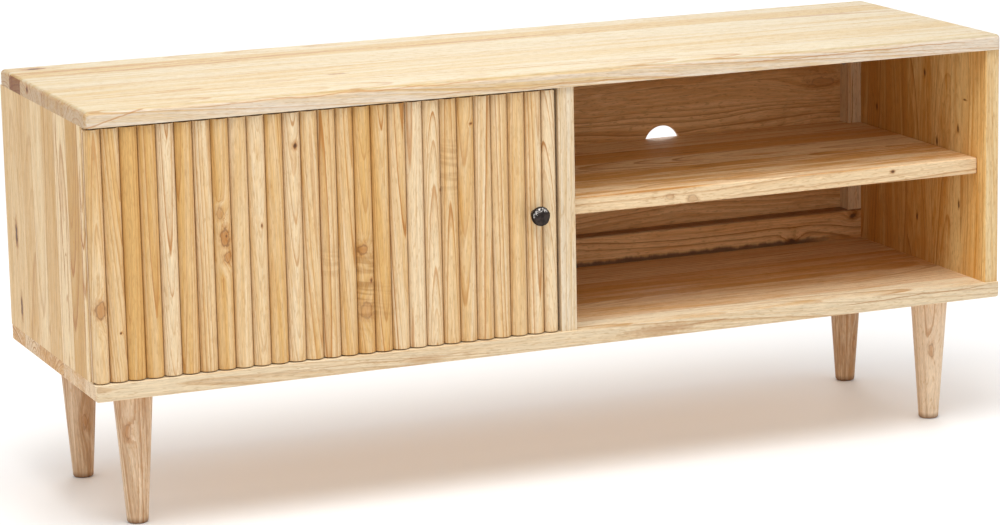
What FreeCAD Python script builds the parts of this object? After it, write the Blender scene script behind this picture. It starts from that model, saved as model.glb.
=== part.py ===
"""TV stand in edge-glued solid wood: a slatted door on the left, an open bay with a shelf on the right.

Lengths are in millimetres. Rules are written in a build frame: x from the left end of the top panel,
y from its front edge towards the back, z up from the floor. place() moves them to the model frame,
whose origin is the bottom centre of the whole object, with the front facing -Y.
"""
import FreeCAD, Part
import os
import Sketcher

Vector = FreeCAD.Vector

DIMENSIONS = [
    ("case_width", 1150, "left end to right end of the top and bottom panels"),
    ("case_depth", 350, "front edge to back edge of the top and bottom panels"),
    ("leg_height", 160, "floor to the underside of the bottom panel"),
    ("bottom_thick", 19, "bottom panel"),
    ("top_thick", 18.5, "top panel"),
    ("inner_height", 288.5, "clear height between bottom and top panels"),
    ("side_thick", 18, "left and right side panels"),
    ("divider_thick", 20, "panel between the door compartment and the open bay"),
    ("divider_left", 564, "left end of the case to the divider's left face"),
    ("front_reveal", 4, "top panel's front edge to the divider, right side and door fronts"),
    ("top_arris", 5, "rounding of the top panel's upper edge"),
    ("top_corner", 6, "rounding of the top panel's upright corners"),
    ("base_arris", 3, "rounding of the bottom panel's lower edge"),
    ("base_corner", 3, "rounding of the bottom panel's upright corners"),
    ("upright_arris", 1.5, "rounding of the upright panels' front edges"),
    ("shelf_top", 152.5, "inner floor to the top of the shelf"),
    ("shelf_thick", 19.5, "shelf"),
    ("shelf_setback", 23.5, "top panel's front edge to the shelf's front"),
    ("shelf_arris", 2, "rounding of the shelf's front edges"),
    ("shelf_gap", 0.4, "play between the shelf and the right side panel"),
    ("notch_play", 0.3, "play around a batten in the shelf's notch"),
    ("back_front", 341.5, "top panel's front edge to the back panel's front face"),
    ("back_thick", 5, "back panel"),
    ("back_play", 0.3, "play around the back panel"),
    ("cable_hole_radius", 25, "round cable hole in the back panel"),
    ("cable_hole_run", 272, "divider's right face to the cable hole's centre"),
    ("batten_width", 19, "upright rear battens, along x"),
    ("batten_depth", 22, "rear battens and rails, along y"),
    ("rail_height", 38, "rear bottom rails"),
    ("leg_inset_x", 61, "end of the case to a leg's axis"),
    ("leg_inset_y", 66, "front or back edge to a leg's axis"),
    ("leg_top_radius", 23.3, "leg where it meets the case"),
    ("leg_foot_radius", 12.3, "leg at the floor"),
    ("leg_foot_round", 3, "rounding of the leg's foot"),
    ("leg_bolt_radius", 4, "M8 bolt in the head of a leg"),
    ("leg_bolt_bury", 36, "length of bolt inside the leg"),
    ("insert_radius", 6, "threaded insert in the bottom panel"),
    ("insert_length", 15, "threaded insert in the bottom panel"),
    ("fit_play", 0.05, "radial play of dowels, bolts, screws and pins in their holes"),
    ("dowel_radius", 4, "beech dowel"),
    ("dowel_length", 28, "beech dowel"),
    ("dowel_bury", 11, "length of dowel in the panel that it stands on"),
    ("dowel_inset", 62, "case edge to the first and last dowel of a joint"),
    ("door_width", 562, "slatted door"),
    ("door_gap_low", 1.5, "inner floor to the door"),
    ("door_gap_high", 2.5, "door to the top panel"),
    ("door_corner", 4.5, "rounding of the door's outline"),
    ("slat_count", 27, "half-round slats on the door"),
    ("slat_pitch", 21, "width of a full slat"),
    ("slat_depth", 8.5, "crown of a slat to its glued face"),
    ("slat_side", 1, "straight side of a slat under its round"),
    ("slat_trim_left", 1.4, "planed off the first slat"),
    ("backing_thick", 9.5, "board that the slats are glued to"),
    ("backing_round", 8, "rounding of the hinge edge, at the back"),
    ("door_rear_gap", 1.3, "door to the left side panel's front edge"),
    ("pin_radius", 2.5, "hinge pin"),
    ("pin_run", 9, "hinge pin's axis from the door's left edge and from its back"),
    ("pin_bury", 25, "length of hinge pin inside the door"),
    ("bush_radius", 4, "hinge bush in a panel"),
    ("bush_length", 10, "hinge bush in a panel"),
    ("bush_flange_radius", 5, "flange of a hinge bush"),
    ("bush_flange_thick", 1.2, "flange of a hinge bush"),
    ("knob_slat", 26, "slat that the knob stands on"),
    ("knob_height", 142.5, "inner floor to the knob's axis"),
    ("knob_reach", 22, "crown of the slat to the knob's front"),
    ("knob_radius", 11.3, "head of the knob"),
    ("knob_head", 14, "thickness of the knob's head"),
    ("knob_neck_radius", 5, "neck of the knob"),
    ("knob_base_radius", 6.5, "base of the knob, let into the slat"),
    ("knob_base_thick", 3, "base of the knob"),
    ("knob_base_sunk", 2, "depth of the seat for the knob's base"),
    ("knob_dome", 4, "rise of the knob's domed front"),
    ("screw_radius", 2, "knob, catch and batten screws"),
    ("screw_head_radius", 3.8, "pan head of those screws"),
    ("screw_head_thick", 2.2, "pan head of those screws"),
    ("knob_screw_bury", 12, "length of screw inside the knob"),
    ("batten_screw_length", 27, "screw through a batten or a rail"),
    ("catch_screw_length", 14, "screw through the catch"),
    ("strike_screw_length", 7, "screw through the strike plate"),
    ("back_screw_radius", 1.5, "back panel screw"),
    ("back_screw_length", 18, "back panel screw"),
    ("back_screw_head_radius", 3, "head of a back panel screw"),
    ("back_screw_head_thick", 1.8, "head of a back panel screw"),
    ("catch_width", 46, "magnetic catch"),
    ("catch_depth", 15, "magnetic catch"),
    ("catch_height", 14, "magnetic catch"),
    ("catch_inset", 20, "divider to the magnetic catch"),
    ("catch_wall", 3, "wall of the catch around its magnet"),
    ("magnet_width", 20, "magnet in the catch"),
    ("magnet_gap", 0.4, "magnet and catch to the strike plate"),
    ("strike_width", 34, "steel strike plate on the door"),
    ("strike_height", 12, "steel strike plate on the door"),
    ("strike_thick", 1, "steel strike plate on the door"),
]

SHEET_NAME = "Dims"

doc = FreeCAD.newDocument("tv_stand")


def make_sheet():
    """Fill the sheet with the driving dimensions, one row each: alias, value and meaning."""
    table = doc.addObject("Spreadsheet::Sheet", SHEET_NAME)
    for row, (alias, value, meaning) in enumerate(DIMENSIONS, start=1):
        table.set(f"A{row}", alias)
        table.set(f"B{row}", str(value))
        table.setAlias(f"B{row}", alias)
        table.set(f"C{row}", meaning)
    return table


sheet = make_sheet()
doc.recompute()
nodes = []


def dims(rule):
    """Turn a rule written with bare aliases into an expression on the sheet."""
    words = str(rule).replace("(", " ( ").replace(")", " ) ").split()
    aliases = {alias for alias, _, _ in DIMENSIONS}
    return " ".join(f"{SHEET_NAME}.{word}" if word in aliases else word for word in words)


def value(rule):
    """Number that a rule comes to."""
    return float(sheet.evalExpression(dims(rule)))


def bind(thing, prop, rule):
    """Drive one property of an object with a rule."""
    thing.setExpression(prop, dims(rule))


# Heights and depths that many sub-parts share.
FLOOR = "leg_height + bottom_thick"
CEILING = f"{FLOOR} + inner_height"
BAY_LEFT = "divider_left + divider_thick"
BAY_RIGHT = "case_width - side_thick"
BATTEN_FRONT = "back_front - batten_depth"
SIDE_FRONT = "front_reveal + slat_depth + backing_thick + door_rear_gap"
DOOR_BACK = "front_reveal + slat_depth + backing_thick"
DOOR_BOTTOM = f"{FLOOR} + door_gap_low"
DOOR_HEIGHT = "inner_height - door_gap_low - door_gap_high"
KNOB_X = "( knob_slat - 0.5 ) * slat_pitch - slat_trim_left"
DOWEL_YS = ["dowel_inset", "case_depth / 2", "case_depth - dowel_inset"]


def place(thing, x, y, z):
    """Put a sub-part at a point of the build frame."""
    bind(thing, "Placement.Base.x", f"{x} - case_width / 2")
    bind(thing, "Placement.Base.y", f"{y} - ( case_depth - knob_reach + front_reveal ) / 2")
    bind(thing, "Placement.Base.z", z)


def new_body(label, x="0", y="0", z="0"):
    """Start a PartDesign body whose own corner lies at a point of the build frame."""
    body = doc.addObject("PartDesign::Body", label)
    body.Label = label
    place(body, x, y, z)
    nodes.append(body)
    return body


def new_sketch(body, role="XY_Plane", offset="0"):
    """Start a sketch on one of the body's origin planes, moved along the plane's normal."""
    sketch = body.newObject("Sketcher::SketchObject", "Sketch")
    plane = next(item for item in body.Origin.OriginFeatures if item.Role == role)
    sketch.AttachmentSupport = (plane, [""])
    sketch.MapMode = "FlatFace"
    bind(sketch, "AttachmentOffset.Base.z", offset)
    return sketch


def constrain(sketch, rule, *terms):
    """Add one dimension to a sketch and drive it with a rule."""
    index = sketch.addConstraint(Sketcher.Constraint(*terms, value(rule)))
    bind(sketch, f"Constraints[{index}]", rule)


def pin_point(sketch, geometry, end, corner):
    """Fix an end of an edge, or a circle's centre, at a corner measured from the sketch's origin."""
    constrain(sketch, corner[0], "DistanceX", -1, 1, geometry, end)
    constrain(sketch, corner[1], "DistanceY", -1, 1, geometry, end)


def arc_middle(start, end, radius):
    """Middle of the shorter arc from start to end that bulges to the right of its chord."""
    chord = end - start
    rise = radius - (radius ** 2 - chord.Length ** 2 / 4) ** 0.5
    across = Vector(chord.y, -chord.x, 0).normalize()
    return (start + end) / 2 + across * rise


def outline(sketch, corners, rounds=None):
    """Draw a closed outline, counter-clockwise; rounds maps a side's number to its outward radius."""
    rounds = rounds or {}
    points = [Vector(value(x), value(y), 0) for x, y in corners]
    first = sketch.GeometryCount
    for side, start in enumerate(points):
        end = points[(side + 1) % len(points)]
        if side in rounds:
            middle = arc_middle(start, end, value(rounds[side]))
            sketch.addGeometry(Part.Arc(start, middle, end))
        else:
            sketch.addGeometry(Part.LineSegment(start, end))
    for side, corner in enumerate(corners):
        sketch.addConstraint(Sketcher.Constraint("Coincident", first + side, 1, first + side - 1, 2)
                             if side else Sketcher.Constraint("Coincident", first, 1,
                                                              first + len(corners) - 1, 2))
        pin_point(sketch, first + side, 1, corner)
    for side, rule in rounds.items():
        constrain(sketch, rule, "Radius", first + side)


def rectangle(sketch, width, depth, x="0", y="0"):
    """Draw a rectangle from its lower left corner."""
    outline(sketch, [(x, y), (f"{x} + {width}", y), (f"{x} + {width}", f"{y} + {depth}"),
                     (x, f"{y} + {depth}")])


def circles(sketch, centres, radius):
    """Draw equal circles."""
    for x, y in centres:
        index = sketch.addGeometry(Part.Circle(Vector(value(x), value(y), 0), Vector(0, 0, 1),
                                               value(radius)))
        pin_point(sketch, index, 3, (x, y))
        constrain(sketch, radius, "Radius", index)


def pad(body, sketch, length):
    """Raise a sketch into a solid along its normal."""
    feature = body.newObject("PartDesign::Pad", "Pad")
    feature.Profile = sketch
    bind(feature, "Length", length)
    doc.recompute()
    return feature


def pocket(body, sketch, depth, outward=False):
    """Cut a sketch out of a solid, against its normal, or along it when outward."""
    before = body.Shape.Volume
    feature = body.newObject("PartDesign::Pocket", "Pocket")
    feature.Profile = sketch
    feature.Reversed = outward
    bind(feature, "Length", depth)
    doc.recompute()
    if not body.Shape.Volume < before:
        raise RuntimeError(f"{body.Label}: a pocket cuts nothing")
    return feature


def fillet(body, radius, choose):
    """Round the edges of the body's tip that choose() accepts."""
    tip = body.Tip
    names = [f"Edge{n}" for n, edge in enumerate(tip.Shape.Edges, start=1) if choose(edge.BoundBox)]
    if not names:
        raise RuntimeError(f"{body.Label}: no edge to round")
    feature = body.newObject("PartDesign::Fillet", "Fillet")
    feature.Base = (tip, names)
    bind(feature, "Radius", radius)
    doc.recompute()
    return feature


def upright(box):
    """True for an edge that runs along z."""
    return box.ZLength > max(box.XLength, box.YLength)


def level_at(height):
    """Chooser for the edges that lie at one height."""
    limit = value(height)
    return lambda box: abs(box.ZMin - limit) < 1e-3 and abs(box.ZMax - limit) < 1e-3


def front_upright(box):
    """True for an upright edge on the body's front face."""
    return upright(box) and abs(box.YMax) < 1e-3


def drill(body, role, offset, centres, radius, depth, outward=False):
    """Drill equal holes from a plane of the body."""
    sketch = new_sketch(body, role, offset)
    circles(sketch, centres, radius)
    return pocket(body, sketch, depth, outward)


def box_body(label, corner, width, depth, height):
    """Rectangular board as a body, from its lower front left corner."""
    body = new_body(label, *corner)
    sketch = new_sketch(body)
    rectangle(sketch, width, depth)
    pad(body, sketch, height)
    return body


def revolve(body, corners, rounds=None):
    """Turn a half-section, drawn as x = radius and y = height, about the body's z axis."""
    sketch = new_sketch(body, "XZ_Plane")
    outline(sketch, corners, rounds)
    feature = body.newObject("PartDesign::Revolution", "Revolution")
    feature.Profile = sketch
    feature.ReferenceAxis = (sketch, ["V_Axis"])
    feature.Angle = 360
    doc.recompute()
    return feature


# Joint positions, shared by the panels and by what goes into them.

def case_joints():
    """Dowel axes between the upright panels and the top and bottom panels."""
    columns = ["side_thick / 2", "divider_left + divider_thick / 2", "case_width - side_thick / 2"]
    return [(x, y) for x in columns for y in DOWEL_YS]


def leg_axes():
    """Leg axes, by name."""
    near, far = "leg_inset_y", "case_depth - leg_inset_y"
    left, right = "leg_inset_x", "case_width - leg_inset_x"
    return {"front_left": (left, near), "front_right": (right, near),
            "rear_left": (left, far), "rear_right": (right, far)}


PIN_AXIS = ("pin_run", f"{DOOR_BACK} - pin_run")
SHELF_DOWEL_YS = ["shelf_setback + dowel_inset", f"{BATTEN_FRONT} - dowel_inset"]
SHELF_DOWEL_Z = "shelf_top - shelf_thick / 2"
PLAY = "dowel_radius + fit_play"
BATTEN_XS = {"rear_batten_left": "side_thick",
             "rear_batten_divider_left": "divider_left - batten_width",
             "rear_batten_divider_right": BAY_LEFT,
             "rear_batten_right": f"{BAY_RIGHT} - batten_width"}
RAIL_SPANS = {"rear_rail_left": ("side_thick", "divider_left - side_thick"),
              "rear_rail_right": (BAY_LEFT, f"{BAY_RIGHT} - ( {BAY_LEFT} )")}
BACK_SCREW_ZS = ["inner_height * 0.3", "inner_height * 0.6", "inner_height * 0.9"]
BATTEN_SCREW_ZS = ["inner_height * 0.25", "inner_height * 0.8"]
RAIL_SCREW_SHARES = [0.25, 0.75]
CATCH_LEFT = "divider_left - catch_inset - catch_width"
CATCH_FRONT = f"{DOOR_BACK} + strike_thick + magnet_gap"
CATCH_SCREW_SHARES = [0.13, 0.87]
STRIKE_X = f"{CATCH_LEFT} + catch_width / 2"
STRIKE_Z = f"{CEILING} - catch_height / 2"


def catch_screw_points():
    """Axes of the screws that hold the magnetic catch to the top panel."""
    return [(f"{CATCH_LEFT} + catch_width * {share}", f"{CATCH_FRONT} + catch_depth / 2")
            for share in CATCH_SCREW_SHARES]


def make_top_panel():
    """Top panel: rounded upper edge and corners, dowel holes and a hinge bush hole underneath."""
    body = box_body("top_panel", ("0", "0", CEILING), "case_width", "case_depth", "top_thick")
    fillet(body, "top_corner", upright)
    fillet(body, "top_arris", level_at("top_thick"))
    drill(body, "XY_Plane", "0", case_joints(), PLAY, "dowel_bury + fit_play", outward=True)
    drill(body, "XY_Plane", "0", [PIN_AXIS], "bush_radius + fit_play", "bush_length", outward=True)
    drill(body, "XY_Plane", "0", catch_screw_points(), "screw_radius + fit_play",
          "catch_screw_length + fit_play", outward=True)


def make_bottom_panel():
    """Bottom panel: rounded lower edge, dowel and bush holes above, threaded insert holes below."""
    body = box_body("bottom_panel", ("0", "0", "leg_height"), "case_width", "case_depth", "bottom_thick")
    fillet(body, "base_corner", upright)
    fillet(body, "base_arris", level_at("0"))
    drill(body, "XY_Plane", "bottom_thick", case_joints(), PLAY, "dowel_bury + fit_play")
    drill(body, "XY_Plane", "bottom_thick", [PIN_AXIS], "bush_radius + fit_play", "bush_length")
    drill(body, "XY_Plane", "0", list(leg_axes().values()), "insert_radius + fit_play",
          "insert_length", outward=True)


def make_upright(label, left, front, thick, rear, batten_sides, shelf_side=None):
    """Upright panel: dowel holes in both ends and for the shelf, screw holes for its battens."""
    depth = f"{rear} - ( {front} )"
    body = box_body(label, (left, front, FLOOR), thick, depth, "inner_height")
    fillet(body, "upright_arris", front_upright)
    bury = "dowel_length - dowel_bury + fit_play"
    centres = [(f"{thick} / 2", f"{y} - ( {front} )") for y in DOWEL_YS]
    drill(body, "XY_Plane", "0", centres, PLAY, bury, outward=True)
    drill(body, "XY_Plane", "inner_height", centres, PLAY, bury)
    faces = {"left": "0", "right": thick}
    screws = [(f"{BATTEN_FRONT} + batten_depth / 2 - ( {front} )", z) for z in BATTEN_SCREW_ZS]
    for side in batten_sides:
        drill(body, "YZ_Plane", faces[side], screws, "screw_radius + fit_play",
              "batten_screw_length - batten_width + fit_play", outward=side == "left")
    if shelf_side:
        holes = [(f"{y} - ( {front} )", SHELF_DOWEL_Z) for y in SHELF_DOWEL_YS]
        drill(body, "YZ_Plane", faces[shelf_side], holes, PLAY, "dowel_bury + fit_play",
              outward=shelf_side == "left")


def make_shelf():
    """Shelf: notched round the two rear battens, with rounded front edges and dowel holes."""
    width = f"{BAY_RIGHT} - ( {BAY_LEFT} ) - shelf_gap"
    depth = "back_front - shelf_setback"
    nick = "batten_width + notch_play"
    ledge = f"{BATTEN_FRONT} - notch_play - shelf_setback"
    body = new_body("shelf", BAY_LEFT, "shelf_setback", f"{FLOOR} + shelf_top - shelf_thick")
    sketch = new_sketch(body)
    outline(sketch, [("0", "0"), (width, "0"), (width, ledge),
                     (f"{width} - ( {nick} ) + shelf_gap", ledge),
                     (f"{width} - ( {nick} ) + shelf_gap", depth),
                     (nick, depth), (nick, ledge), ("0", ledge)])
    pad(body, sketch, "shelf_thick")
    right_edge = value(width)
    fillet(body, "shelf_arris", lambda box: front_upright(box) and abs(box.XMin - right_edge) < 1e-3)
    fillet(body, "shelf_arris", lambda box: abs(box.YMax) < 1e-3 and not upright(box))
    holes = [(f"{y} - shelf_setback", "shelf_thick / 2") for y in SHELF_DOWEL_YS]
    bury = "dowel_length - dowel_bury + fit_play"
    drill(body, "YZ_Plane", "0", holes, PLAY, bury, outward=True)
    drill(body, "YZ_Plane", width, holes, PLAY, bury)


def make_back_panel():
    """Thin back panel, let into the case from behind, with a round cable hole and screw holes."""
    inset = "side_thick + back_play"
    width = f"case_width - 2 * ( {inset} )"
    body = box_body("back_panel", (inset, "back_front", f"{FLOOR} + back_play"), width, "back_thick",
                    "inner_height - 2 * back_play")
    hole_x = f"{BAY_LEFT} + cable_hole_run - ( {inset} )"
    drill(body, "XZ_Plane", "0", [(hole_x, f"{SHELF_DOWEL_Z} - back_play")], "cable_hole_radius",
          "2 * back_thick")
    centres = [(f"{x} - ( {inset} )", f"{z} - back_play") for x, z in back_screw_points()]
    drill(body, "XZ_Plane", "0", centres, "back_screw_radius + fit_play", "2 * back_thick")


def back_screw_points():
    """Screws through the back panel, as x in the build frame and z from the inner floor."""
    points = [(f"{x} + batten_width / 2", z) for x in BATTEN_XS.values() for z in BACK_SCREW_ZS]
    for left, span in RAIL_SPANS.values():
        points += [(f"{left} + ( {span} ) * {share}", "rail_height / 2") for share in RAIL_SCREW_SHARES]
    return points


def make_battens():
    """Upright rear battens, standing on the rear rails, that carry the back panel."""
    for label, left in BATTEN_XS.items():
        body = box_body(label, (left, BATTEN_FRONT, f"{FLOOR} + rail_height"), "batten_width",
                        "batten_depth", "inner_height - rail_height")
        centres = [("batten_width / 2", f"{z} - rail_height") for z in BACK_SCREW_ZS]
        bury = "back_screw_length - back_thick + fit_play"
        drill(body, "XZ_Plane", "0 - batten_depth", centres, "back_screw_radius + fit_play", bury,
              outward=True)
        across = [("batten_depth / 2", f"{z} - rail_height") for z in BATTEN_SCREW_ZS]
        drill(body, "YZ_Plane", "0", across, "screw_radius + fit_play", "batten_width", outward=True)


def make_rails():
    """Rear bottom rails on the inner floor, in front of the back panel's lower edge."""
    for label, (left, span) in RAIL_SPANS.items():
        body = box_body(label, (left, BATTEN_FRONT, FLOOR), span, "batten_depth", "rail_height")
        centres = [(f"( {span} ) * {share}", "rail_height / 2") for share in RAIL_SCREW_SHARES]
        bury = "back_screw_length - back_thick + fit_play"
        drill(body, "XZ_Plane", "0 - batten_depth", centres, "back_screw_radius + fit_play", bury,
              outward=True)


def make_legs():
    """Round tapered legs, with a rounded foot and a hole in the head for the bolt."""
    bolt = "leg_bolt_radius + fit_play"
    hole_floor = "leg_height - leg_bolt_bury - fit_play"
    for name, (x, y) in leg_axes().items():
        body = new_body(f"leg_{name}", x, y, "0")
        revolve(body, [("0", "0"), ("leg_foot_radius - leg_foot_round", "0"),
                       ("leg_foot_radius", "leg_foot_round"), ("leg_top_radius", "leg_height"),
                       (bolt, "leg_height"), (bolt, hole_floor), ("0", hole_floor)],
                {1: "leg_foot_round"})


def cylinder(name, radius, length, spot, turn=None):
    """Cylinder primitive that starts at a point of the build frame, along z or turned."""
    thing = doc.addObject("Part::Cylinder", name)
    bind(thing, "Radius", radius)
    bind(thing, "Height", length)
    if turn:
        thing.Placement = FreeCAD.Placement(Vector(), FreeCAD.Rotation(Vector(*turn[0]), turn[1]))
    place(thing, *spot)
    return thing


def group(label, members):
    """Node made of separate like solids."""
    thing = doc.addObject("Part::Compound", label)
    thing.Label = label
    thing.Links = members
    nodes.append(thing)
    return thing


def ring(name, outer, inner, length, spot):
    """Tube primitive that stands on a point of the build frame."""
    thing = doc.addObject("Part::Cut", name)
    thing.Base = cylinder(f"{name}_outer", outer, length, spot)
    thing.Tool = cylinder(f"{name}_bore", inner, length, spot)
    return thing


def fuse(name, members):
    """One solid from overlapping or touching ones."""
    thing = doc.addObject("Part::MultiFuse", name)
    thing.Shapes = members
    return thing


TO_FRONT = ((1, 0, 0), 90)
TO_RIGHT = ((0, 1, 0), 90)
TO_LEFT = ((0, 1, 0), -90)


def make_leg_fixings():
    """Threaded inserts in the bottom panel and the bolts that join the legs to them."""
    inserts, bolts = [], []
    for name, (x, y) in leg_axes().items():
        inserts.append(ring(f"insert_{name}", "insert_radius", "leg_bolt_radius + fit_play",
                            "insert_length", (x, y, "leg_height")))
        bolts.append(cylinder(f"bolt_{name}", "leg_bolt_radius",
                              "leg_bolt_bury + insert_length - 1", (x, y, "leg_height - leg_bolt_bury")))
    group("leg_inserts", inserts)
    group("leg_bolts", bolts)


def make_dowels():
    """Beech dowels in the corner, divider and shelf joints."""
    members = []
    for n, (x, y) in enumerate(case_joints()):
        for end, z in (("low", f"{FLOOR} - dowel_bury"), ("high", f"{CEILING} + dowel_bury - dowel_length")):
            members.append(cylinder(f"dowel_{end}_{n}", "dowel_radius", "dowel_length", (x, y, z)))
    height = f"{FLOOR} + {SHELF_DOWEL_Z}"
    for n, y in enumerate(SHELF_DOWEL_YS):
        members.append(cylinder(f"dowel_shelf_left_{n}", "dowel_radius", "dowel_length",
                                (f"{BAY_LEFT} - dowel_bury", y, height), TO_RIGHT))
        members.append(cylinder(f"dowel_shelf_right_{n}", "dowel_radius", "dowel_length",
                                (f"{BAY_RIGHT} + dowel_bury", y, height), TO_LEFT))
    group("case_dowels", members)


def screw(name, shank, length, head, head_thick, spot, turn, outward):
    """Pan head screw: its head sits on spot, outward names the axis and sense it faces away along."""
    axis, sense = outward
    above = list(spot)
    above[axis] = f"{spot[axis]} {sense} {head_thick}"
    head_part = cylinder(f"{name}_head", head, head_thick, above, turn)
    shank_part = cylinder(f"{name}_shank", shank, f"{length} + {head_thick}", above, turn)
    return fuse(name, [head_part, shank_part])


def make_back_screws():
    """Screws through the back panel into the battens and rails."""
    members = []
    for n, (x, z) in enumerate(back_screw_points()):
        spot = (x, "back_front + back_thick", f"{FLOOR} + {z}")
        members.append(screw(f"back_screw_{n}", "back_screw_radius", "back_screw_length",
                             "back_screw_head_radius", "back_screw_head_thick", spot, TO_FRONT, (1, "+")))
    group("back_screws", members)


def make_batten_screws():
    """Screws through the upright battens into the panels beside them."""
    members = []
    for n, (label, left) in enumerate(BATTEN_XS.items()):
        rightward = label in ("rear_batten_divider_left", "rear_batten_right")
        start = left if rightward else f"{left} + batten_width"
        for m, z in enumerate(BATTEN_SCREW_ZS):
            spot = (start, f"{BATTEN_FRONT} + batten_depth / 2", f"{FLOOR} + {z}")
            members.append(screw(f"batten_screw_{n}_{m}", "screw_radius", "batten_screw_length",
                                 "screw_head_radius", "screw_head_thick", spot,
                                 TO_RIGHT if rightward else TO_LEFT, (0, "-" if rightward else "+")))
    group("batten_screws", members)


def corner_cut(body, x, z, toward):
    """Round one corner of a piece of the door, as seen from the front."""
    step_x, step_z = toward
    sketch = new_sketch(body, "XZ_Plane")
    corners = [(x, z), (f"{x} {step_x} door_corner", z), (x, f"{z} {step_z} door_corner")]
    if step_x != step_z:
        corners = [corners[0], corners[2], corners[1]]
    corner, after, before = [Vector(value(a), value(b), 0) for a, b in corners]
    centre = after + before - corner
    middle = centre + (corner - centre).normalize() * value("door_corner")
    sketch.addGeometry(Part.LineSegment(corner, after))
    sketch.addGeometry(Part.Arc(before, middle, after))
    sketch.addGeometry(Part.LineSegment(before, corner))
    for first, first_end, second, second_end in ((0, 2, 1, 2), (1, 1, 2, 1), (2, 2, 0, 1)):
        sketch.addConstraint(Sketcher.Constraint("Coincident", first, first_end, second, second_end))
    pin_point(sketch, 0, 1, corners[0])
    pin_point(sketch, 0, 2, corners[1])
    pin_point(sketch, 2, 1, corners[2])
    constrain(sketch, "door_corner", "Radius", 1)
    feature = pocket(body, sketch, f"3 * ( {DOOR_BACK} )")
    feature.Midplane = True
    doc.recompute()


def make_door_backing():
    """Board behind the slats: its hinge edge is rounded at the back so that it turns past the side."""
    body = new_body("door_backing", "0", "front_reveal + slat_depth", DOOR_BOTTOM)
    sketch = new_sketch(body)
    outline(sketch, [("0", "0"), ("door_width", "0"), ("door_width", "backing_thick"),
                     ("backing_round", "backing_thick"), ("0", "backing_thick - backing_round")],
            {3: "backing_round"})
    pad(body, sketch, DOOR_HEIGHT)
    corner_cut(body, "door_width", DOOR_HEIGHT, ("-", "-"))
    corner_cut(body, "door_width", "0", ("-", "+"))
    hole = [("pin_run", "backing_thick - pin_run")]
    drill(body, "XY_Plane", "0", hole, "pin_radius + fit_play", "pin_bury", outward=True)
    drill(body, "XY_Plane", DOOR_HEIGHT, hole, "pin_radius + fit_play", "pin_bury")
    drill(body, "XZ_Plane", "0", [(KNOB_X, "knob_height - door_gap_low")],
          "screw_radius + fit_play", "2 * backing_thick")
    drill(body, "XZ_Plane", "0 - backing_thick", [(STRIKE_X, f"{STRIKE_Z} - ( {DOOR_BOTTOM} )")],
          "screw_radius + fit_play", "strike_screw_length", outward=True)


def make_slat(number):
    """Half-round slat glued to the backing; the first and last are planed to the door's edges."""
    count = int(value("slat_count"))
    left = f"{number - 1} * slat_pitch - slat_trim_left" if number > 1 else "0"
    right = f"{number} * slat_pitch - slat_trim_left" if number < count else "door_width"
    width = f"( {right} - ( {left} ) )"
    rise = "( slat_depth - slat_side )"
    radius = f"( {width} ^ 2 / 4 + {rise} ^ 2 ) / ( 2 * {rise} )"
    body = new_body(f"door_slat_{number:02d}", left, "front_reveal", DOOR_BOTTOM)
    sketch = new_sketch(body)
    outline(sketch, [("0", rise), (width, rise), (width, "slat_depth"), ("0", "slat_depth")],
            {0: radius})
    pad(body, sketch, DOOR_HEIGHT)
    if number == 1:
        corner_cut(body, "0", DOOR_HEIGHT, ("+", "-"))
        corner_cut(body, "0", "0", ("+", "+"))
        hole = [("pin_run", f"{DOOR_BACK} - pin_run - front_reveal")]
        drill(body, "XY_Plane", "0", hole, "pin_radius + fit_play", "pin_bury", outward=True)
        drill(body, "XY_Plane", DOOR_HEIGHT, hole, "pin_radius + fit_play", "pin_bury")
    if number == count:
        corner_cut(body, width, DOOR_HEIGHT, ("-", "-"))
        corner_cut(body, width, "0", ("-", "+"))
    if number == int(value("knob_slat")):
        centre = [("slat_pitch / 2", "knob_height - door_gap_low")]
        drill(body, "XZ_Plane", "0", centre, "knob_base_radius + fit_play", "knob_base_sunk")
        drill(body, "XZ_Plane", "0", centre, "screw_radius + fit_play", "2 * slat_depth")


def make_hinge():
    """Hinge pins in the door's top and bottom edges and the flanged bushes that they turn in."""
    x, y = PIN_AXIS
    reach = "pin_bury + bush_length - 2"
    door_top = f"{CEILING} - door_gap_high"
    low = cylinder("pin_low", "pin_radius", f"{reach} + door_gap_low",
                   (x, y, f"{FLOOR} - bush_length + 2"))
    high = cylinder("pin_high", "pin_radius", f"{reach} + door_gap_high",
                    (x, y, f"{door_top} - pin_bury"))
    group("hinge_pins", [low, high])
    bore = "pin_radius + fit_play"
    members = []
    for end, sleeve_z, flange_z in (("low", f"{FLOOR} - bush_length", FLOOR),
                                    ("high", CEILING, f"{CEILING} - bush_flange_thick")):
        sleeve = ring(f"bush_{end}", "bush_radius", bore, "bush_length", (x, y, sleeve_z))
        flange = ring(f"flange_{end}", "bush_flange_radius", bore, "bush_flange_thick", (x, y, flange_z))
        members.append(fuse(f"hinge_bush_{end}", [sleeve, flange]))
    group("hinge_bushes", members)


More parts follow.
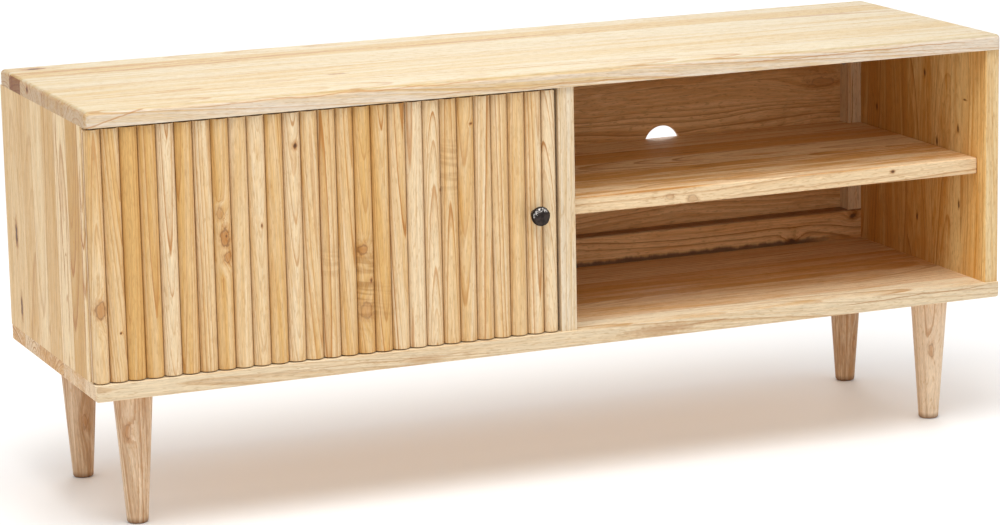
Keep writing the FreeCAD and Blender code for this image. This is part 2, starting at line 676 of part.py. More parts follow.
def make_knob():
    """Mushroom knob turned from iron: a base let into the slat, a neck and a domed head."""
    body = new_body("door_knob", KNOB_X, "front_reveal + knob_base_sunk", f"{FLOOR} + knob_height")
    body.Placement = FreeCAD.Placement(Vector(), FreeCAD.Rotation(Vector(*TO_FRONT[0]), TO_FRONT[1]))
    place(body, KNOB_X, "front_reveal + knob_base_sunk", f"{FLOOR} + knob_height")
    reach = "knob_reach + knob_base_sunk"
    shoulder = f"{reach} - knob_head"
    rim = f"{reach} - knob_dome"
    bore = "screw_radius + fit_play"
    dome = "( knob_radius ^ 2 + knob_dome ^ 2 ) / ( 2 * knob_dome )"
    revolve(body, [("0", "knob_screw_bury"), (bore, "knob_screw_bury"), (bore, "0"),
                   ("knob_base_radius", "0"), ("knob_base_radius", "knob_base_thick"),
                   ("knob_neck_radius", "knob_base_thick + 1"), ("knob_neck_radius", shoulder),
                   ("knob_radius", f"{shoulder} + knob_dome"), ("knob_radius", rim), ("0", reach)],
            {8: dome})
    screw_length = "slat_depth - knob_base_sunk + backing_thick + knob_screw_bury"
    spot = (KNOB_X, DOOR_BACK, f"{FLOOR} + knob_height")
    member = screw("knob_bolt", "screw_radius", screw_length, "screw_head_radius", "screw_head_thick",
                   spot, TO_FRONT, (1, "+"))
    group("knob_screw", [member])


def make_catch():
    """Magnetic catch under the top panel, and the strike plate that it holds the door by."""
    housing = box_body("catch_housing", (CATCH_LEFT, CATCH_FRONT, f"{CEILING} - catch_height"),
                       "catch_width", "catch_depth", "catch_height")
    recess = new_sketch(housing, "XZ_Plane")
    rectangle(recess, "magnet_width", "catch_height - 2 * catch_wall",
              "( catch_width - magnet_width ) / 2", "catch_wall")
    pocket(housing, recess, "catch_depth - catch_wall")
    holes = [(f"catch_width * {share}", "catch_depth / 2") for share in CATCH_SCREW_SHARES]
    drill(housing, "XY_Plane", "catch_height", holes, "screw_radius + fit_play", "2 * catch_height")
    box_body("catch_magnet", (f"{CATCH_LEFT} + ( catch_width - magnet_width ) / 2", CATCH_FRONT,
                              f"{CEILING} - catch_height + catch_wall"),
             "magnet_width", "catch_depth - catch_wall", "catch_height - 2 * catch_wall")
    members = []
    for n, (x, y) in enumerate(catch_screw_points()):
        members.append(screw(f"catch_screw_{n}", "screw_radius", "catch_height + catch_screw_length",
                             "screw_head_radius", "screw_head_thick",
                             (x, y, f"{CEILING} - catch_height"), None, (2, "-")))
    group("catch_screws", members)
    plate = box_body("strike_plate", (f"{STRIKE_X} - strike_width / 2", DOOR_BACK,
                                      f"{STRIKE_Z} - strike_height / 2"),
                     "strike_width", "strike_thick", "strike_height")
    drill(plate, "XZ_Plane", "0", [("strike_width / 2", "strike_height / 2")],
          "screw_radius + fit_play", "2 * strike_thick")
    spot = (STRIKE_X, f"{DOOR_BACK} + strike_thick", STRIKE_Z)
    flush = cylinder("strike_screw_shank", "screw_radius", "strike_thick + strike_screw_length",
                     spot, TO_FRONT)
    group("strike_screw", [flush])


def make_case():
    """Fixed case: panels, shelf, back, battens, legs and what joins them."""
    make_top_panel()
    make_bottom_panel()
    make_upright("left_side_panel", "0", SIDE_FRONT, "side_thick", "case_depth", ["right"])
    make_upright("right_side_panel", BAY_RIGHT, "front_reveal", "side_thick", "case_depth", ["left"],
                 "left")
    make_upright("divider_panel", "divider_left", "front_reveal", "divider_thick", "back_front",
                 ["left", "right"], "right")
    make_shelf()
    make_back_panel()
    make_battens()
    make_rails()
    make_legs()
    make_leg_fixings()
    make_dowels()
    make_back_screws()
    make_batten_screws()


def make_door():
    """Door: backing, slats, hinge, knob and catch."""
    make_door_backing()
    for number in range(1, int(value("slat_count")) + 1):
        make_slat(number)
    make_hinge()
    make_knob()
    make_catch()


def check():
    """Stop if any object failed to rebuild or any sub-part's shape is empty or not valid."""
    for thing in doc.Objects:
        if "Invalid" in thing.State or "Error" in thing.State:
            raise RuntimeError(f"{thing.Label}: {thing.State}")
    for thing in nodes:
        if thing.Shape.isNull() or not thing.Shape.isValid() or not thing.Shape.Solids:
            raise RuntimeError(f"{thing.Label}: empty or not valid")


def write_parts():
    """Write each sub-part to its own file."""
    os.makedirs("parts", exist_ok=True)
    for thing in nodes:
        thing.Shape.exportStep(f"parts/{thing.Label}.step")


make_case()
make_door()
doc.recompute()
check()
write_parts()
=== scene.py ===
"""Looks for a low TV stand in edge-glued wood, laid out as an add-on.

The door is faced with half-round slats and hinged at the left; the open bay has one shelf.
Lengths are in metres. Timber is drawn on object coordinates, so its figure runs through each board.
"""
from functools import cached_property, partialmethod
from math import cos, pi, radians, sin

import bmesh
import bpy
from bpy.props import FloatProperty, FloatVectorProperty, IntProperty, PointerProperty
from mathutils import Matrix, Vector


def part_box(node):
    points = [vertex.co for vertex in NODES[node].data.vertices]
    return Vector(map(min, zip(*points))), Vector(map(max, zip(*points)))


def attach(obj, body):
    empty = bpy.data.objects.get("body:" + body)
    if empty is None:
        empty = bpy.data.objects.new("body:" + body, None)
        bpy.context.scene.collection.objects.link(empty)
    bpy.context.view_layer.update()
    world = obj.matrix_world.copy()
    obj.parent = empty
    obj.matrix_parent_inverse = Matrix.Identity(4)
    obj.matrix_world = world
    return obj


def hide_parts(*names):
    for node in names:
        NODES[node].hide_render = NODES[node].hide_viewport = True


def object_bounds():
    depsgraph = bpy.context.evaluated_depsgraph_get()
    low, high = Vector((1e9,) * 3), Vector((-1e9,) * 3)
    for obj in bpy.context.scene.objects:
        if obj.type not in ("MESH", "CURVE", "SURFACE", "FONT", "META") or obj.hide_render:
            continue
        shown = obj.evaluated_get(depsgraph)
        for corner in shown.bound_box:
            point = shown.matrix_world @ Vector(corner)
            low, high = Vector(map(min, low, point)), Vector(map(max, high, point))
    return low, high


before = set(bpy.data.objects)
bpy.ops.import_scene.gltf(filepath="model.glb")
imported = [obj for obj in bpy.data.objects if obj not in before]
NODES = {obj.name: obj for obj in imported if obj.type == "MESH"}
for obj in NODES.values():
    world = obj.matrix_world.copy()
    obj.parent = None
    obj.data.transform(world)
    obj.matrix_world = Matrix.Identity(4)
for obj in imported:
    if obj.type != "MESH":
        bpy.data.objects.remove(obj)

bl_info = {
    "name": "Slatted TV stand",
    "version": (1, 0, 0),
    "blender": (4, 5, 0),
    "location": "3D View > Sidebar > TV stand",
    "description": "Finishes, fittings and studio for a TV stand with a slatted door",
    "category": "Object",
}

CAD_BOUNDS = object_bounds()
MERGE_DISTANCE = 1e-6
CUT_DISTANCE = 1e-7
WHITE = (1, 1, 1)
SLAT_COUNT = sum(name.startswith("door_slat_") for name in NODES)


def colour(name, description, default):
    """Colour property in linear light."""
    return FloatVectorProperty(name=name, description=description, subtype="COLOR", size=3, min=0, max=1,
                               default=default)


def length(name, description, default):
    """Length property in metres."""
    return FloatProperty(name=name, description=description, default=default, unit="LENGTH", precision=5)


def share(name, description, default):
    """Property from 0 to 1."""
    return FloatProperty(name=name, description=description, default=default, min=0, max=1,
                         subtype="FACTOR")


def amount(name, description, default, unit="NONE", **limits):
    """Plain property, or one with a unit."""
    return FloatProperty(name=name, description=description, default=default, unit=unit, **limits)


# ---- properties

class TimberProperties(bpy.types.PropertyGroup):
    """Colours and figure that every wooden piece shares."""
    pale: colour("Pale wood", "Sapwood, the lightest tone of a stave", (0.76, 0.595, 0.40))
    honey: colour("Honey wood", "Heartwood, the warmest tone of a stave", (0.66, 0.40, 0.155))
    line: colour("Growth line", "Dark edge of a growth ring", (0.40, 0.150, 0.022))
    pore: colour("Pore", "Short dark fleck along the grain", (0.46, 0.23, 0.065))
    knot: colour("Knot", "Heart of a knot", (0.08, 0.032, 0.012))
    gap: length("Ring gap", "Usual distance between growth rings", 0.0048)
    roughness: share("Roughness", "Roughness of the satin surface", 0.52)
    relief: length("Relief", "Depth of the open grain", 0.00035)


class CaseProperties(bpy.types.PropertyGroup):
    """How the case's boards differ from the plain timber."""
    top_pale: colour("Top, pale", "Lightest staves of the top panel", (0.675, 0.575, 0.455))
    top_honey: colour("Top, honey", "Warmest staves of the top panel", (0.61, 0.43, 0.215))
    side_pale: colour("Left side, pale", "Lightest staves of the left side", (0.82, 0.62, 0.360))
    side_honey: colour("Left side, honey", "Warmest staves of the left side", (0.58, 0.325, 0.095))
    inner_pale: colour("Inside, pale", "Lightest staves inside the bay", (0.87, 0.66, 0.42))
    inner_honey: colour("Inside, honey", "Warmest staves inside the bay", (0.68, 0.355, 0.105))
    # Painted shade: colours of the back panel and rails, browner and more orange as they look in the bay's
    # shade.
    shaded_back_pale: colour("Back, pale", "Lightest tone of the back panel", (0.88, 0.55, 0.26))
    shaded_back_honey: colour("Back, honey", "Warmest tone of the back panel", (0.68, 0.335, 0.105))


class SlatProperties(bpy.types.PropertyGroup):
    """How the door's slats look."""
    pale: colour("Slat, pale", "Lightest slats", (0.75, 0.585, 0.370))
    honey: colour("Slat, honey", "Warmest slats", (0.625, 0.372, 0.128))
    gap: length("Slat ring gap", "Distance between growth rings in the slats", 0.0042)
    # Groove line: how dark the painted shade is at each slat's edge, standing in for the groove's shadow.
    groove: share("Groove line", "Darkness of the thin line beside each groove", 0.75)


class LegProperties(bpy.types.PropertyGroup):
    """How the legs look."""
    pale: colour("Leg, pale", "Lightest streaks of a leg", (0.75, 0.565, 0.385))
    honey: colour("Leg, brown", "Darkest streaks of a leg", (0.44, 0.25, 0.12))


class KnobProperties(bpy.types.PropertyGroup):
    """Hammered iron knob."""
    marks: IntProperty(name="Hammer marks", description="Flats hammered round the knob's shoulder",
                       default=8, min=3, max=24)
    mark_depth: length("Mark depth", "Depth of the hammered flats", 0.0011)
    iron: colour("Iron", "Blackened iron", (0.022, 0.016, 0.014))
    # Painted highlight colour for the flecks on the knob's upper shoulder.
    second_tone: colour("Worn iron", "Iron rubbed bright on its ridges", (0.68, 0.64, 0.60))


class MetalProperties(bpy.types.PropertyGroup):
    """Screws, pins and catch."""
    zinc: colour("Zinc", "Plated steel", (0.56, 0.57, 0.60))
    brass: colour("Brass", "Hinge bushes", (0.70, 0.47, 0.17))
    ferrite: colour("Ferrite", "Magnet of the catch", (0.05, 0.05, 0.055))
    moulding: colour("Moulding", "Catch housing", (0.42, 0.26, 0.13))
    recess: share("Recess", "Reach of the cross recess, as a share of the head", 0.55)


class StageProperties(bpy.types.PropertyGroup):
    """Floor, lights and camera."""
    floor: colour("Floor", "Pale floor", (0.88, 0.88, 0.88))
    sky: amount("Sky", "Strength of the even light from all round", 0.85, min=0)
    lamp: amount("Overhead lamp", "Power of the large overhead lamp", 38, "POWER", min=0)
    lamp_size: length("Lamp size", "Side of the overhead lamp", 1.6)
    far_lamp: amount("Far lamp", "Power of the lamp that lifts the far floor", 420, "POWER", min=0)
    place: FloatVectorProperty(name="Camera place", description="Where the camera stands", size=3,
                               subtype="TRANSLATION", default=(-1.627413, -3.840131, 1.120091))
    yaw: amount("Yaw", "Turn of the camera about the upright", radians(-23.2828), "ROTATION")
    pitch: amount("Pitch", "Dip of the camera below level", radians(-11.4978), "ROTATION")
    roll: amount("Roll", "Turn of the camera about its own view", radians(-1.0297), "ROTATION")
    lens: amount("Lens", "Focal length of the camera", 127.37, "CAMERA")
    shift: FloatVectorProperty(name="Shift", description="Shift of the frame, across and up", size=2,
                               default=(-0.0336, -0.0343))


SETTINGS = {
    "tv_timber": TimberProperties,
    "tv_case": CaseProperties,
    "tv_slats": SlatProperties,
    "tv_legs": LegProperties,
    "tv_knob": KnobProperties,
    "tv_metal": MetalProperties,
    "tv_stage": StageProperties,
}


# ---- node helpers

class Wiring:
    """Lays nodes in one tree. Each method adds a node and returns its main output."""

    def __init__(self, tree):
        self.tree = tree

    def add(self, kind, inputs=None, **settings):
        """Add a node, set its properties, then fill its inputs with values or links."""
        node = self.tree.nodes.new(kind)
        for name, setting in settings.items():
            setattr(node, name, setting)
        for key, source in (inputs or {}).items():
            self.feed(node.inputs[key], source)
        return node

    def feed(self, socket, source):
        """Link an output to a socket, or set the socket's own value."""
        if isinstance(source, bpy.types.NodeSocket):
            self.tree.links.new(source, socket)
        elif socket.type == "RGBA" and len(source) == 3:
            socket.default_value = (*source, 1)
        else:
            socket.default_value = source

    def math(self, operation, *values, clamp=False):
        """Scalar arithmetic."""
        return self.add("ShaderNodeMath", dict(enumerate(values)), operation=operation,
                        use_clamp=clamp).outputs[0]

    plus = partialmethod(math, "ADD")
    minus = partialmethod(math, "SUBTRACT")
    times = partialmethod(math, "MULTIPLY")
    over = partialmethod(math, "DIVIDE")
    times_plus = partialmethod(math, "MULTIPLY_ADD")
    most = partialmethod(math, "MAXIMUM")

    def apart(self, first, second):
        """Distance between two numbers."""
        return self.math("ABSOLUTE", self.minus(first, second))

    def vector(self, operation, *values):
        """Vector arithmetic."""
        node = self.add("ShaderNodeVectorMath", dict(enumerate(values)), operation=operation)
        return node.outputs["Value" if operation in ("LENGTH", "DOT_PRODUCT", "DISTANCE") else "Vector"]

    def join(self, x=0.0, y=0.0, z=0.0):
        """Vector from three numbers."""
        return self.add("ShaderNodeCombineXYZ", {0: x, 1: y, 2: z}).outputs[0]

    def split(self, vector):
        """Three numbers of a vector."""
        return self.add("ShaderNodeSeparateXYZ", {0: vector}).outputs

    def noise(self, vector, scale=1.0, detail=2.0, roughness=0.5):
        """Noise value about 0.5."""
        return self.add("ShaderNodeTexNoise", {"Vector": vector, "Scale": scale, "Detail": detail,
                                               "Roughness": roughness}).outputs["Fac"]

    def chance(self, value):
        """Random number from 0 to 1 for each value."""
        return self.add("ShaderNodeTexWhiteNoise", {"W": value}, noise_dimensions="1D").outputs["Value"]

    def span(self, value, low, high, start=0.0, end=1.0):
        """Smooth step from start to end while value goes from low to high."""
        node = self.add("ShaderNodeMapRange", {"Value": value, "From Min": low, "From Max": high,
                                               "To Min": start, "To Max": end},
                        interpolation_type="SMOOTHSTEP")
        return node.outputs[0]

    def ramp(self, value, stops, interpolation="LINEAR"):
        """Grey or coloured ramp over a value, from pairs of position and colour or grey."""
        node = self.add("ShaderNodeValToRGB", {0: value})
        band = node.color_ramp
        band.interpolation = interpolation
        while len(band.elements) < len(stops):
            band.elements.new(1)
        for element, (place, tone) in zip(band.elements, stops):
            element.position = place
            element.color = (tone, tone, tone, 1) if isinstance(tone, (int, float)) else (*tone, 1)
        return node.outputs["Color"]

    def mix(self, factor, first, second, blend="MIX"):
        """Mix two colours."""
        node = self.tree.nodes.new("ShaderNodeMix")
        node.data_type = "RGBA"
        node.blend_type = blend
        for index, source in ((0, factor), (6, first), (7, second)):
            self.feed(node.inputs[index], source)
        return node.outputs[2]


def open_material(name):
    """New material with an empty tree, and the wiring of that tree."""
    material = bpy.data.materials.new(name)
    material.use_nodes = True
    material.node_tree.nodes.clear()
    return material, Wiring(material.node_tree)


def close_material(w, paint, rough, height, strength, depth, **constants):
    """Shader with colour, gloss and a relief of the given strength and depth."""
    relief = w.add("ShaderNodeBump", {"Strength": strength, "Distance": depth, "Height": height})
    shader = w.add("ShaderNodeBsdfPrincipled", {"Base Color": paint, "Roughness": rough,
                                                "Normal": relief.outputs[0]})
    for name, constant in constants.items():
        shader.inputs[name.replace("_", " ")].default_value = constant
    w.add("ShaderNodeOutputMaterial", {"Surface": shader.outputs[0]})


GROUP_INPUTS = {"Vector": "Board Pith Lean",
                "Float": "Gap Wander Push Tone Streaks Lines Pores End Knot Stain",
                "Color": "Pale Honey Line Pore Heart"}
GROUP_OUTPUTS = {"Color": "Color", "Float": "Rough Height"}
# How fine each noise is across the grain and along it, in repeats per metre.
DRIFT_NOISE = (9.0, 2.6)
JITTER_NOISE = (420.0, 22.0)
FLECK_NOISE = (520.0, 95.0)
FIBRE_NOISE = (1300.0, 60.0)
BAND_NOISE = (46.0, 1.7)
STREAK_NOISE = (260.0, 5.0)
RAGGED_NOISE = (240.0, 150.0)
SEED_SPREAD = 7.31
# Share of a growth ring, from its pale spring wood to the dark line that ends it.
RING_PROFILE = [(0.0, 0.18), (0.05, 0.0), (0.45, 0.05), (0.78, 0.32), (0.88, 1.0), (0.96, 1.0), (1.0, 0.18)]


def timber_group():
    """Node group that draws sawn timber: growth rings round a pith, flecks, streaks and knots.

    Board holds the place across the face, through the board and along the grain. Pith holds the
    pith's offset across and through, and a seed. Lean is how far the pith drifts per metre of grain.
    """
    group = bpy.data.node_groups.get("Timber")
    if group:
        return group
    group = bpy.data.node_groups.new("Timber", "ShaderNodeTree")
    for way, sockets in (("INPUT", GROUP_INPUTS), ("OUTPUT", GROUP_OUTPUTS)):
        for kind, names in sockets.items():
            for name in names.split():
                group.interface.new_socket(name, in_out=way, socket_type=f"NodeSocket{kind}")
    w = Wiring(group)
    given = group.nodes.new("NodeGroupInput").outputs
    across, through, along = w.split(given["Board"])
    pith_across, pith_through, seed = w.split(given["Pith"])
    lean_across, lean_through, _ = w.split(given["Lean"])
    far = w.times(seed, SEED_SPREAD)

    def stretched(first, second, scales, start=0.0):
        """Place for a noise that is fine across the grain and coarse along it."""
        fine, coarse = scales
        return w.join(w.times_plus(first, fine, far), w.times(second, fine),
                      w.times_plus(along, coarse, start))

    # Rings, which wander slowly along the board.
    slow = stretched(across, through, DRIFT_NOISE, seed)
    drift = w.times(w.minus(w.noise(slow, detail=2.5), 0.5), given["Wander"])
    other = w.vector("ADD", slow, w.join(5.3, 1.7, 9.1))
    drift_through = w.times(w.minus(w.noise(other, detail=1.0), 0.5), given["Wander"])
    u = w.plus(w.times_plus(along, lean_across, across),
               w.plus(w.plus(drift, pith_across), given["Push"]))
    v = w.plus(w.times_plus(along, lean_through, through),
               w.plus(drift_through, pith_through))
    reach = w.vector("LENGTH", w.join(u, v, 0.0))
    count = w.over(reach, given["Gap"])
    uneven = w.noise(w.join(w.times(count, 0.45), far, 0.0), detail=0.0)
    count = w.times_plus(uneven, 1.8, count)
    count = w.times_plus(w.noise(stretched(across, through, JITTER_NOISE), detail=1.0), 0.12, count)
    phase = w.math("FRACT", count)
    luck = w.chance(w.math("FLOOR", w.plus(count, far)))
    strength = w.times_plus(w.math("POWER", luck, 1.5), 0.9, 0.1)
    rings = w.times(w.ramp(phase, RING_PROFILE), strength)

    # Flecks, fibres, streaks and broad bands.
    flecks = w.span(w.noise(stretched(u, v, FLECK_NOISE), detail=1.5, roughness=0.6), 0.56, 0.68)
    fibres = w.noise(stretched(across, through, FIBRE_NOISE), detail=2.0, roughness=0.7)
    bands = w.noise(stretched(u, v, BAND_NOISE, seed), detail=3.0, roughness=0.55)
    streaks = w.noise(stretched(u, v, STREAK_NOISE, seed), detail=2.0, roughness=0.6)

    # Colour.
    swing = w.times_plus(w.minus(bands, 0.5), 1.7,
                   w.times(w.minus(streaks, 0.5), 1.5))
    swing = w.times_plus(w.times(w.minus(phase, 0.4), strength), 0.5, swing)
    tone = w.times_plus(swing, given["Streaks"], given["Tone"], clamp=True)
    paint = w.mix(tone, given["Pale"], given["Honey"])
    marked = w.times_plus(given["End"], 1.6, 1.0)
    lined = w.times(w.times(rings, given["Lines"]), marked, clamp=True)
    paint = w.mix(lined, paint, given["Line"])
    paint = w.mix(w.times(flecks, given["Pores"], clamp=True), paint, given["Pore"])
    shade = w.times_plus(given["End"], -0.12, w.span(fibres, 0.2, 0.8, 0.81, 1.14))
    paint = w.mix(1.0, paint, w.join(shade, shade, shade), "MULTIPLY")
    paint = w.mix(given["Stain"], paint, given["Line"])
    paint = w.mix(given["Knot"], paint, given["Heart"])

    # Relief and gloss.
    height = w.times_plus(flecks, -0.8, w.times(fibres, 0.35))
    height = w.times_plus(rings, -0.35, height)
    height = w.times_plus(given["Knot"], -0.8, height)
    rough = w.times_plus(fibres, 0.16, w.times(flecks, 0.15))
    leave = group.nodes.new("NodeGroupOutput")
    for name, source in (("Color", paint), ("Rough", rough), ("Height", height)):
        w.feed(leave.inputs[name], source)
    return group


# Which object axes lie across the face, through the board and along the grain.
GRAIN = {"flat": "YZX", "wall": "ZYX", "side": "YXZ", "upright": "XYZ"}
# Width of a glue line between two staves.
GLUE_LINE = 0.0011


class Board:
    """One board's timber material, built up by its maker and then finished.

    Places on it are measured from its lowest corner: across the face, through the board and along
    the grain. Its own sizes those ways are wide, thick and run.
    """

    def __init__(self, name, node, grain):
        self.node = node
        self.timber = bpy.context.scene.tv_timber
        self.material, self.w = open_material(name)
        w = self.w
        order = ["XYZ".index(axis) for axis in GRAIN[grain]]
        low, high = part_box(node)
        self.corner = [low[i] for i in order]
        self.wide, self.thick, self.run = (high[i] - low[i] for i in order)
        self.centre = [(low[i] + high[i]) / 2 for i in order]
        place = w.add("ShaderNodeTexCoord")
        parts = w.split(place.outputs["Object"])
        normal = w.split(place.outputs["Normal"])
        self.across, self.through, self.along = (parts[i] for i in order)
        self.face_across, self.face_through, self.face_along = (normal[i] for i in order)
        self.push = 0.0
        self.knots = 0.0
        self.stains = 0.0
        self.dims = []

    @cached_property
    def ragged(self):
        """Unevenness of the edges of knots, stains and cracks."""
        w = self.w
        fine, coarse = RAGGED_NOISE
        uneven = w.noise(w.join(w.times(self.across, fine), w.times(self.through, fine),
                                w.times(self.along, coarse)), detail=2.0)
        return w.times_plus(uneven, 1.1, -0.55)

    def facing(self, side, low=0.5, high=0.8, way=0):
        """Mask of the faces that look along an axis: way is 1 or -1, or 0 for both ways."""
        if way != 1:
            side = self.w.times(side, -1.0) if way else self.w.math("ABSOLUTE", side)
        return self.w.span(side, low, high)

    def tint(self, mask, tint):
        """Multiply the colour by a tint where the mask is 1."""
        self.dims.append(self.w.mix(mask, WHITE, tint))

    def away(self, across, along, radius, stretch, deep=None):
        """Distance from a spot in radii: stretch is how much longer it is along the grain."""
        w = self.w
        parts = [w.over(w.minus(self.across, self.corner[0] + across), radius),
                 w.over(w.minus(self.along, self.corner[2] + along), radius * stretch)]
        if deep is not None:
            parts.append(w.over(w.minus(self.through, self.corner[1] + deep), radius))
        return w.plus(w.vector("LENGTH", w.join(*parts)), self.ragged)

    def knot(self, across, along, radius, hard=0.9, stretch=1.7, sway=1.0, deep=None):
        """Bend the rings round a knot and darken its heart, or only its rim if it is a soft one."""
        w = self.w
        away = self.away(across, along, radius, stretch, deep)
        swell = w.math("POWER", 2.718, w.times(w.times(away, away), -0.16))
        self.push = w.times_plus(swell, radius * 2.4 * sway, self.push)
        if hard > 0.5:
            dark = w.span(away, 0.35, 1.15, hard, 0.0)
        else:
            dark = w.span(w.apart(away, 0.95), 0.04, 0.22, hard * 0.9, 0.0)
        self.knots = w.most(dark, self.knots)
        self.stain(across, along, radius * 1.6, min(0.85, hard * 1.6), stretch, deep)

    def stain(self, across, along, radius, hard=0.5, stretch=1.0, deep=None):
        """Brown patch with a ragged edge."""
        away = self.away(across, along, radius, stretch, deep)
        self.stains = self.w.most(self.w.span(away, 0.3, 1.3, hard, 0.0), self.stains)

    def crack(self, across, along, reach, hard=0.8, width=0.0009, lean=0.0, edge=False):
        """Thin dark line along the grain, which may lean across it. An edge line lies on the board's
        front edge, and across is then measured through the board."""
        w = self.w
        along += self.corner[2]
        across += self.corner[1 if edge else 0]
        place = self.through if edge else self.across
        off = w.times_plus(w.minus(self.along, along), -lean, w.minus(place, across))
        wave = w.noise(w.join(0.0, self.through, w.times(self.along, 26.0)), detail=1.0)
        off = w.times_plus(w.minus(wave, 0.5), 0.006, off)
        off = w.times_plus(self.ragged, width * 1.2, off)
        thin = w.span(w.math("ABSOLUTE", off), width * 0.3, width, hard, 0.0)
        line = w.times(thin, w.span(w.apart(self.along, along), reach * 0.35, reach * 0.5, 1.0, 0.0))
        if edge:
            line = w.times(line, self.facing(self.face_across))
        self.stains = w.most(line, self.stains)

    def ripple(self, along, spread, depth):
        """Curly figure: pale and dark bars across the grain."""
        w = self.w
        bars = w.noise(w.join(w.times(self.across, 22.0), 0.0,
                              w.times_plus(self.across, 30.0, w.times(self.along, 190.0))), detail=1.0)
        zone = w.span(w.apart(self.along, self.corner[2] + along), spread * 0.3, spread, depth, 0.0)
        self.tint(w.times(w.span(bars, 0.4, 0.62), zone), (0.62, 0.50, 0.36))

    def staves(self, cuts, tones, seed, show=1, depth=0.05, lean=0.03, rise=0.06, arches=None):
        """Tone, pith and lean for each stave, and the glue lines between them.

        Cuts are the glue lines across the board. Show is 1 where the show face is the high one
        through the board, or 0. Arches holds, for a flat-sawn stave, how far its pith lies aside
        and deep, and its climb.
        """
        w = self.w
        low, high = self.corner[0], self.corner[0] + self.wide
        face = self.corner[1] + show * self.thick
        middle = self.centre[2]
        edges = [low, *(low + cut for cut in cuts), high]
        inner = [(edge - low) / (high - low) for edge in edges[:-1]]
        piths, leans = [], []
        for n, (start, stop) in enumerate(zip(edges, edges[1:])):
            turn = seed + n * 2.4
            aside = 0.6 * (stop - start) * sin(turn)
            tilt, climb = lean * sin(turn * 1.7), rise * sin(turn * 2.9 + 1)
            deep = depth * (1 + 0.5 * cos(turn))
            if arches and n in arches:
                tilt = 0.0
                aside, deep, climb = arches[n]
            pith = (aside - (start + stop) / 2 - tilt * middle, deep - face - climb * middle)
            piths.append([(part + 1) / 2 for part in pith] + [(seed + n * 0.37) % 1])
            leans.append([(part + 1) / 2 for part in (tilt, climb)] + [0])
        place = w.add("ShaderNodeMapRange", {"Value": self.across, "From Min": low,
                                             "From Max": high}).outputs[0]
        steps = [w.ramp(place, list(zip(inner, rows)), "CONSTANT") for rows in (tones, piths, leans)]
        pith = w.vector("MULTIPLY_ADD", steps[1], (2.0, 2.0, 31.0), (-1.0, -1.0, 0.0))
        slope = w.vector("MULTIPLY_ADD", steps[2], (2.0, 2.0, 0.0), (-1.0, -1.0, 0.0))
        stripes = [(at, float(n % 2)) for n, at in enumerate(inner)]
        beside = w.ramp(w.plus(place, GLUE_LINE / (high - low)), stripes, "CONSTANT")
        seam = w.apart(beside, w.ramp(place, stripes, "CONSTANT"))
        return {"tone": steps[0], "pith": pith, "lean": slope, "seam": seam}

    def finish(self, pale, honey, tone=0.5, pith=(0.0, 0.05, 1.0), lean=(0.0, 0.0, 0.0), gap=None,
               wander=0.012, streaks=1.0, lines=0.55, pores=0.30, seam=None, seam_depth=0.28):
        """Close the material with timber colour, satin gloss and open grain, and dress the node."""
        w, timber = self.w, self.timber
        group = w.add("ShaderNodeGroup", node_tree=timber_group())
        fill = {"Board": w.join(self.across, self.through, self.along), "Pith": pith, "Lean": lean,
                "Gap": gap or timber.gap, "Wander": wander, "Push": self.push, "Tone": tone,
                "Streaks": streaks, "Lines": lines, "Pores": pores, "Knot": self.knots,
                "End": self.facing(self.face_along, 0.55, 0.9), "Stain": self.stains, "Pale": pale,
                "Honey": honey, "Line": timber.line, "Pore": timber.pore, "Heart": timber.knot}
        for key, source in fill.items():
            w.feed(group.inputs[key], source)
        paint, rough, height = group.outputs
        if seam is not None:
            paint = w.mix(w.times(seam, seam_depth), paint, timber.line)
        for dim in self.dims:
            paint = w.mix(1.0, paint, dim, "MULTIPLY")
        close_material(w, paint, w.plus(rough, timber.roughness - 0.1), height, 0.5, timber.relief,
                       Specular_IOR_Level=0.35)
        dress(self.node, self.material)


def dress(node, material):
    """Give a CAD node its material."""
    mesh = NODES[node].data
    mesh.materials.clear()
    mesh.materials.append(material)


# ---- the case

class TVSTAND_OT_top_panel(bpy.types.Operator):
    """Top panel: wide pale staves along the width, a golden one with a brown end near the back"""
    bl_idname = "tvstand.top_panel"
    bl_label = "Top panel"

    def execute(self, context):
        case = context.scene.tv_case
        board = Board("Top panel wood", "top_panel", "flat")
        w = board.w
        staves = board.staves((0.080, 0.172, 0.262, 0.308), (0.22, 0.50, 0.15, 1.00, 0.10), 0.4)
        board.knot(board.wide - 0.022, 0.035, 0.0055, 0.85, 2.2)
        board.knot(0.232, 0, 0.0035, sway=0.3, deep=board.thick - 0.008)
        board.knot(0.115, 0.335, 0.003, 0.45, 3)
        for across, along in ((0.268, 0.160), (0.284, 0.330), (0.298, 0.090), (0.276, 0.560)):
            board.stain(across, along, 0.0048, 0.60, 32)
        board.crack(0.0095, 0.036, 0.095, 0.6, 0.0012, 0.24, edge=True)
        for up, along, reach, hard, lean in ((0.0150, 0.300, 0.420, 0.5, 0.006),
                                             (0.0040, 0.560, 0.380, 0.5, -0.005),
                                             (0.0120, 0.950, 0.360, 0.6, 0.008)):
            board.crack(up, along, reach, hard, lean=lean, edge=True)
        at_end = w.math("LESS_THAN", board.along, board.corner[2] + 0.0012)
        golden = w.math("GREATER_THAN", staves["tone"], 0.8)
        board.tint(w.times(at_end, golden), (0.52, 0.34, 0.20))
        # Painted shade: the upward face is darkened, offsetting the strong overhead lamp that lights it.
        board.tint(board.facing(board.face_through, 0.3, 0.9, way=1), (0.715, 0.698, 0.568))
        board.tint(board.facing(board.face_across, way=1), (1.06, 0.96, 0.76))
        board.tint(board.facing(board.face_along, 0.5, 0.9), (0.96, 0.82, 0.64))
        board.finish(case.top_pale, case.top_honey, wander=0.016, streaks=1.6, lines=0.60, pores=0.22,
                     seam_depth=0.12, **staves)
        return {"FINISHED"}


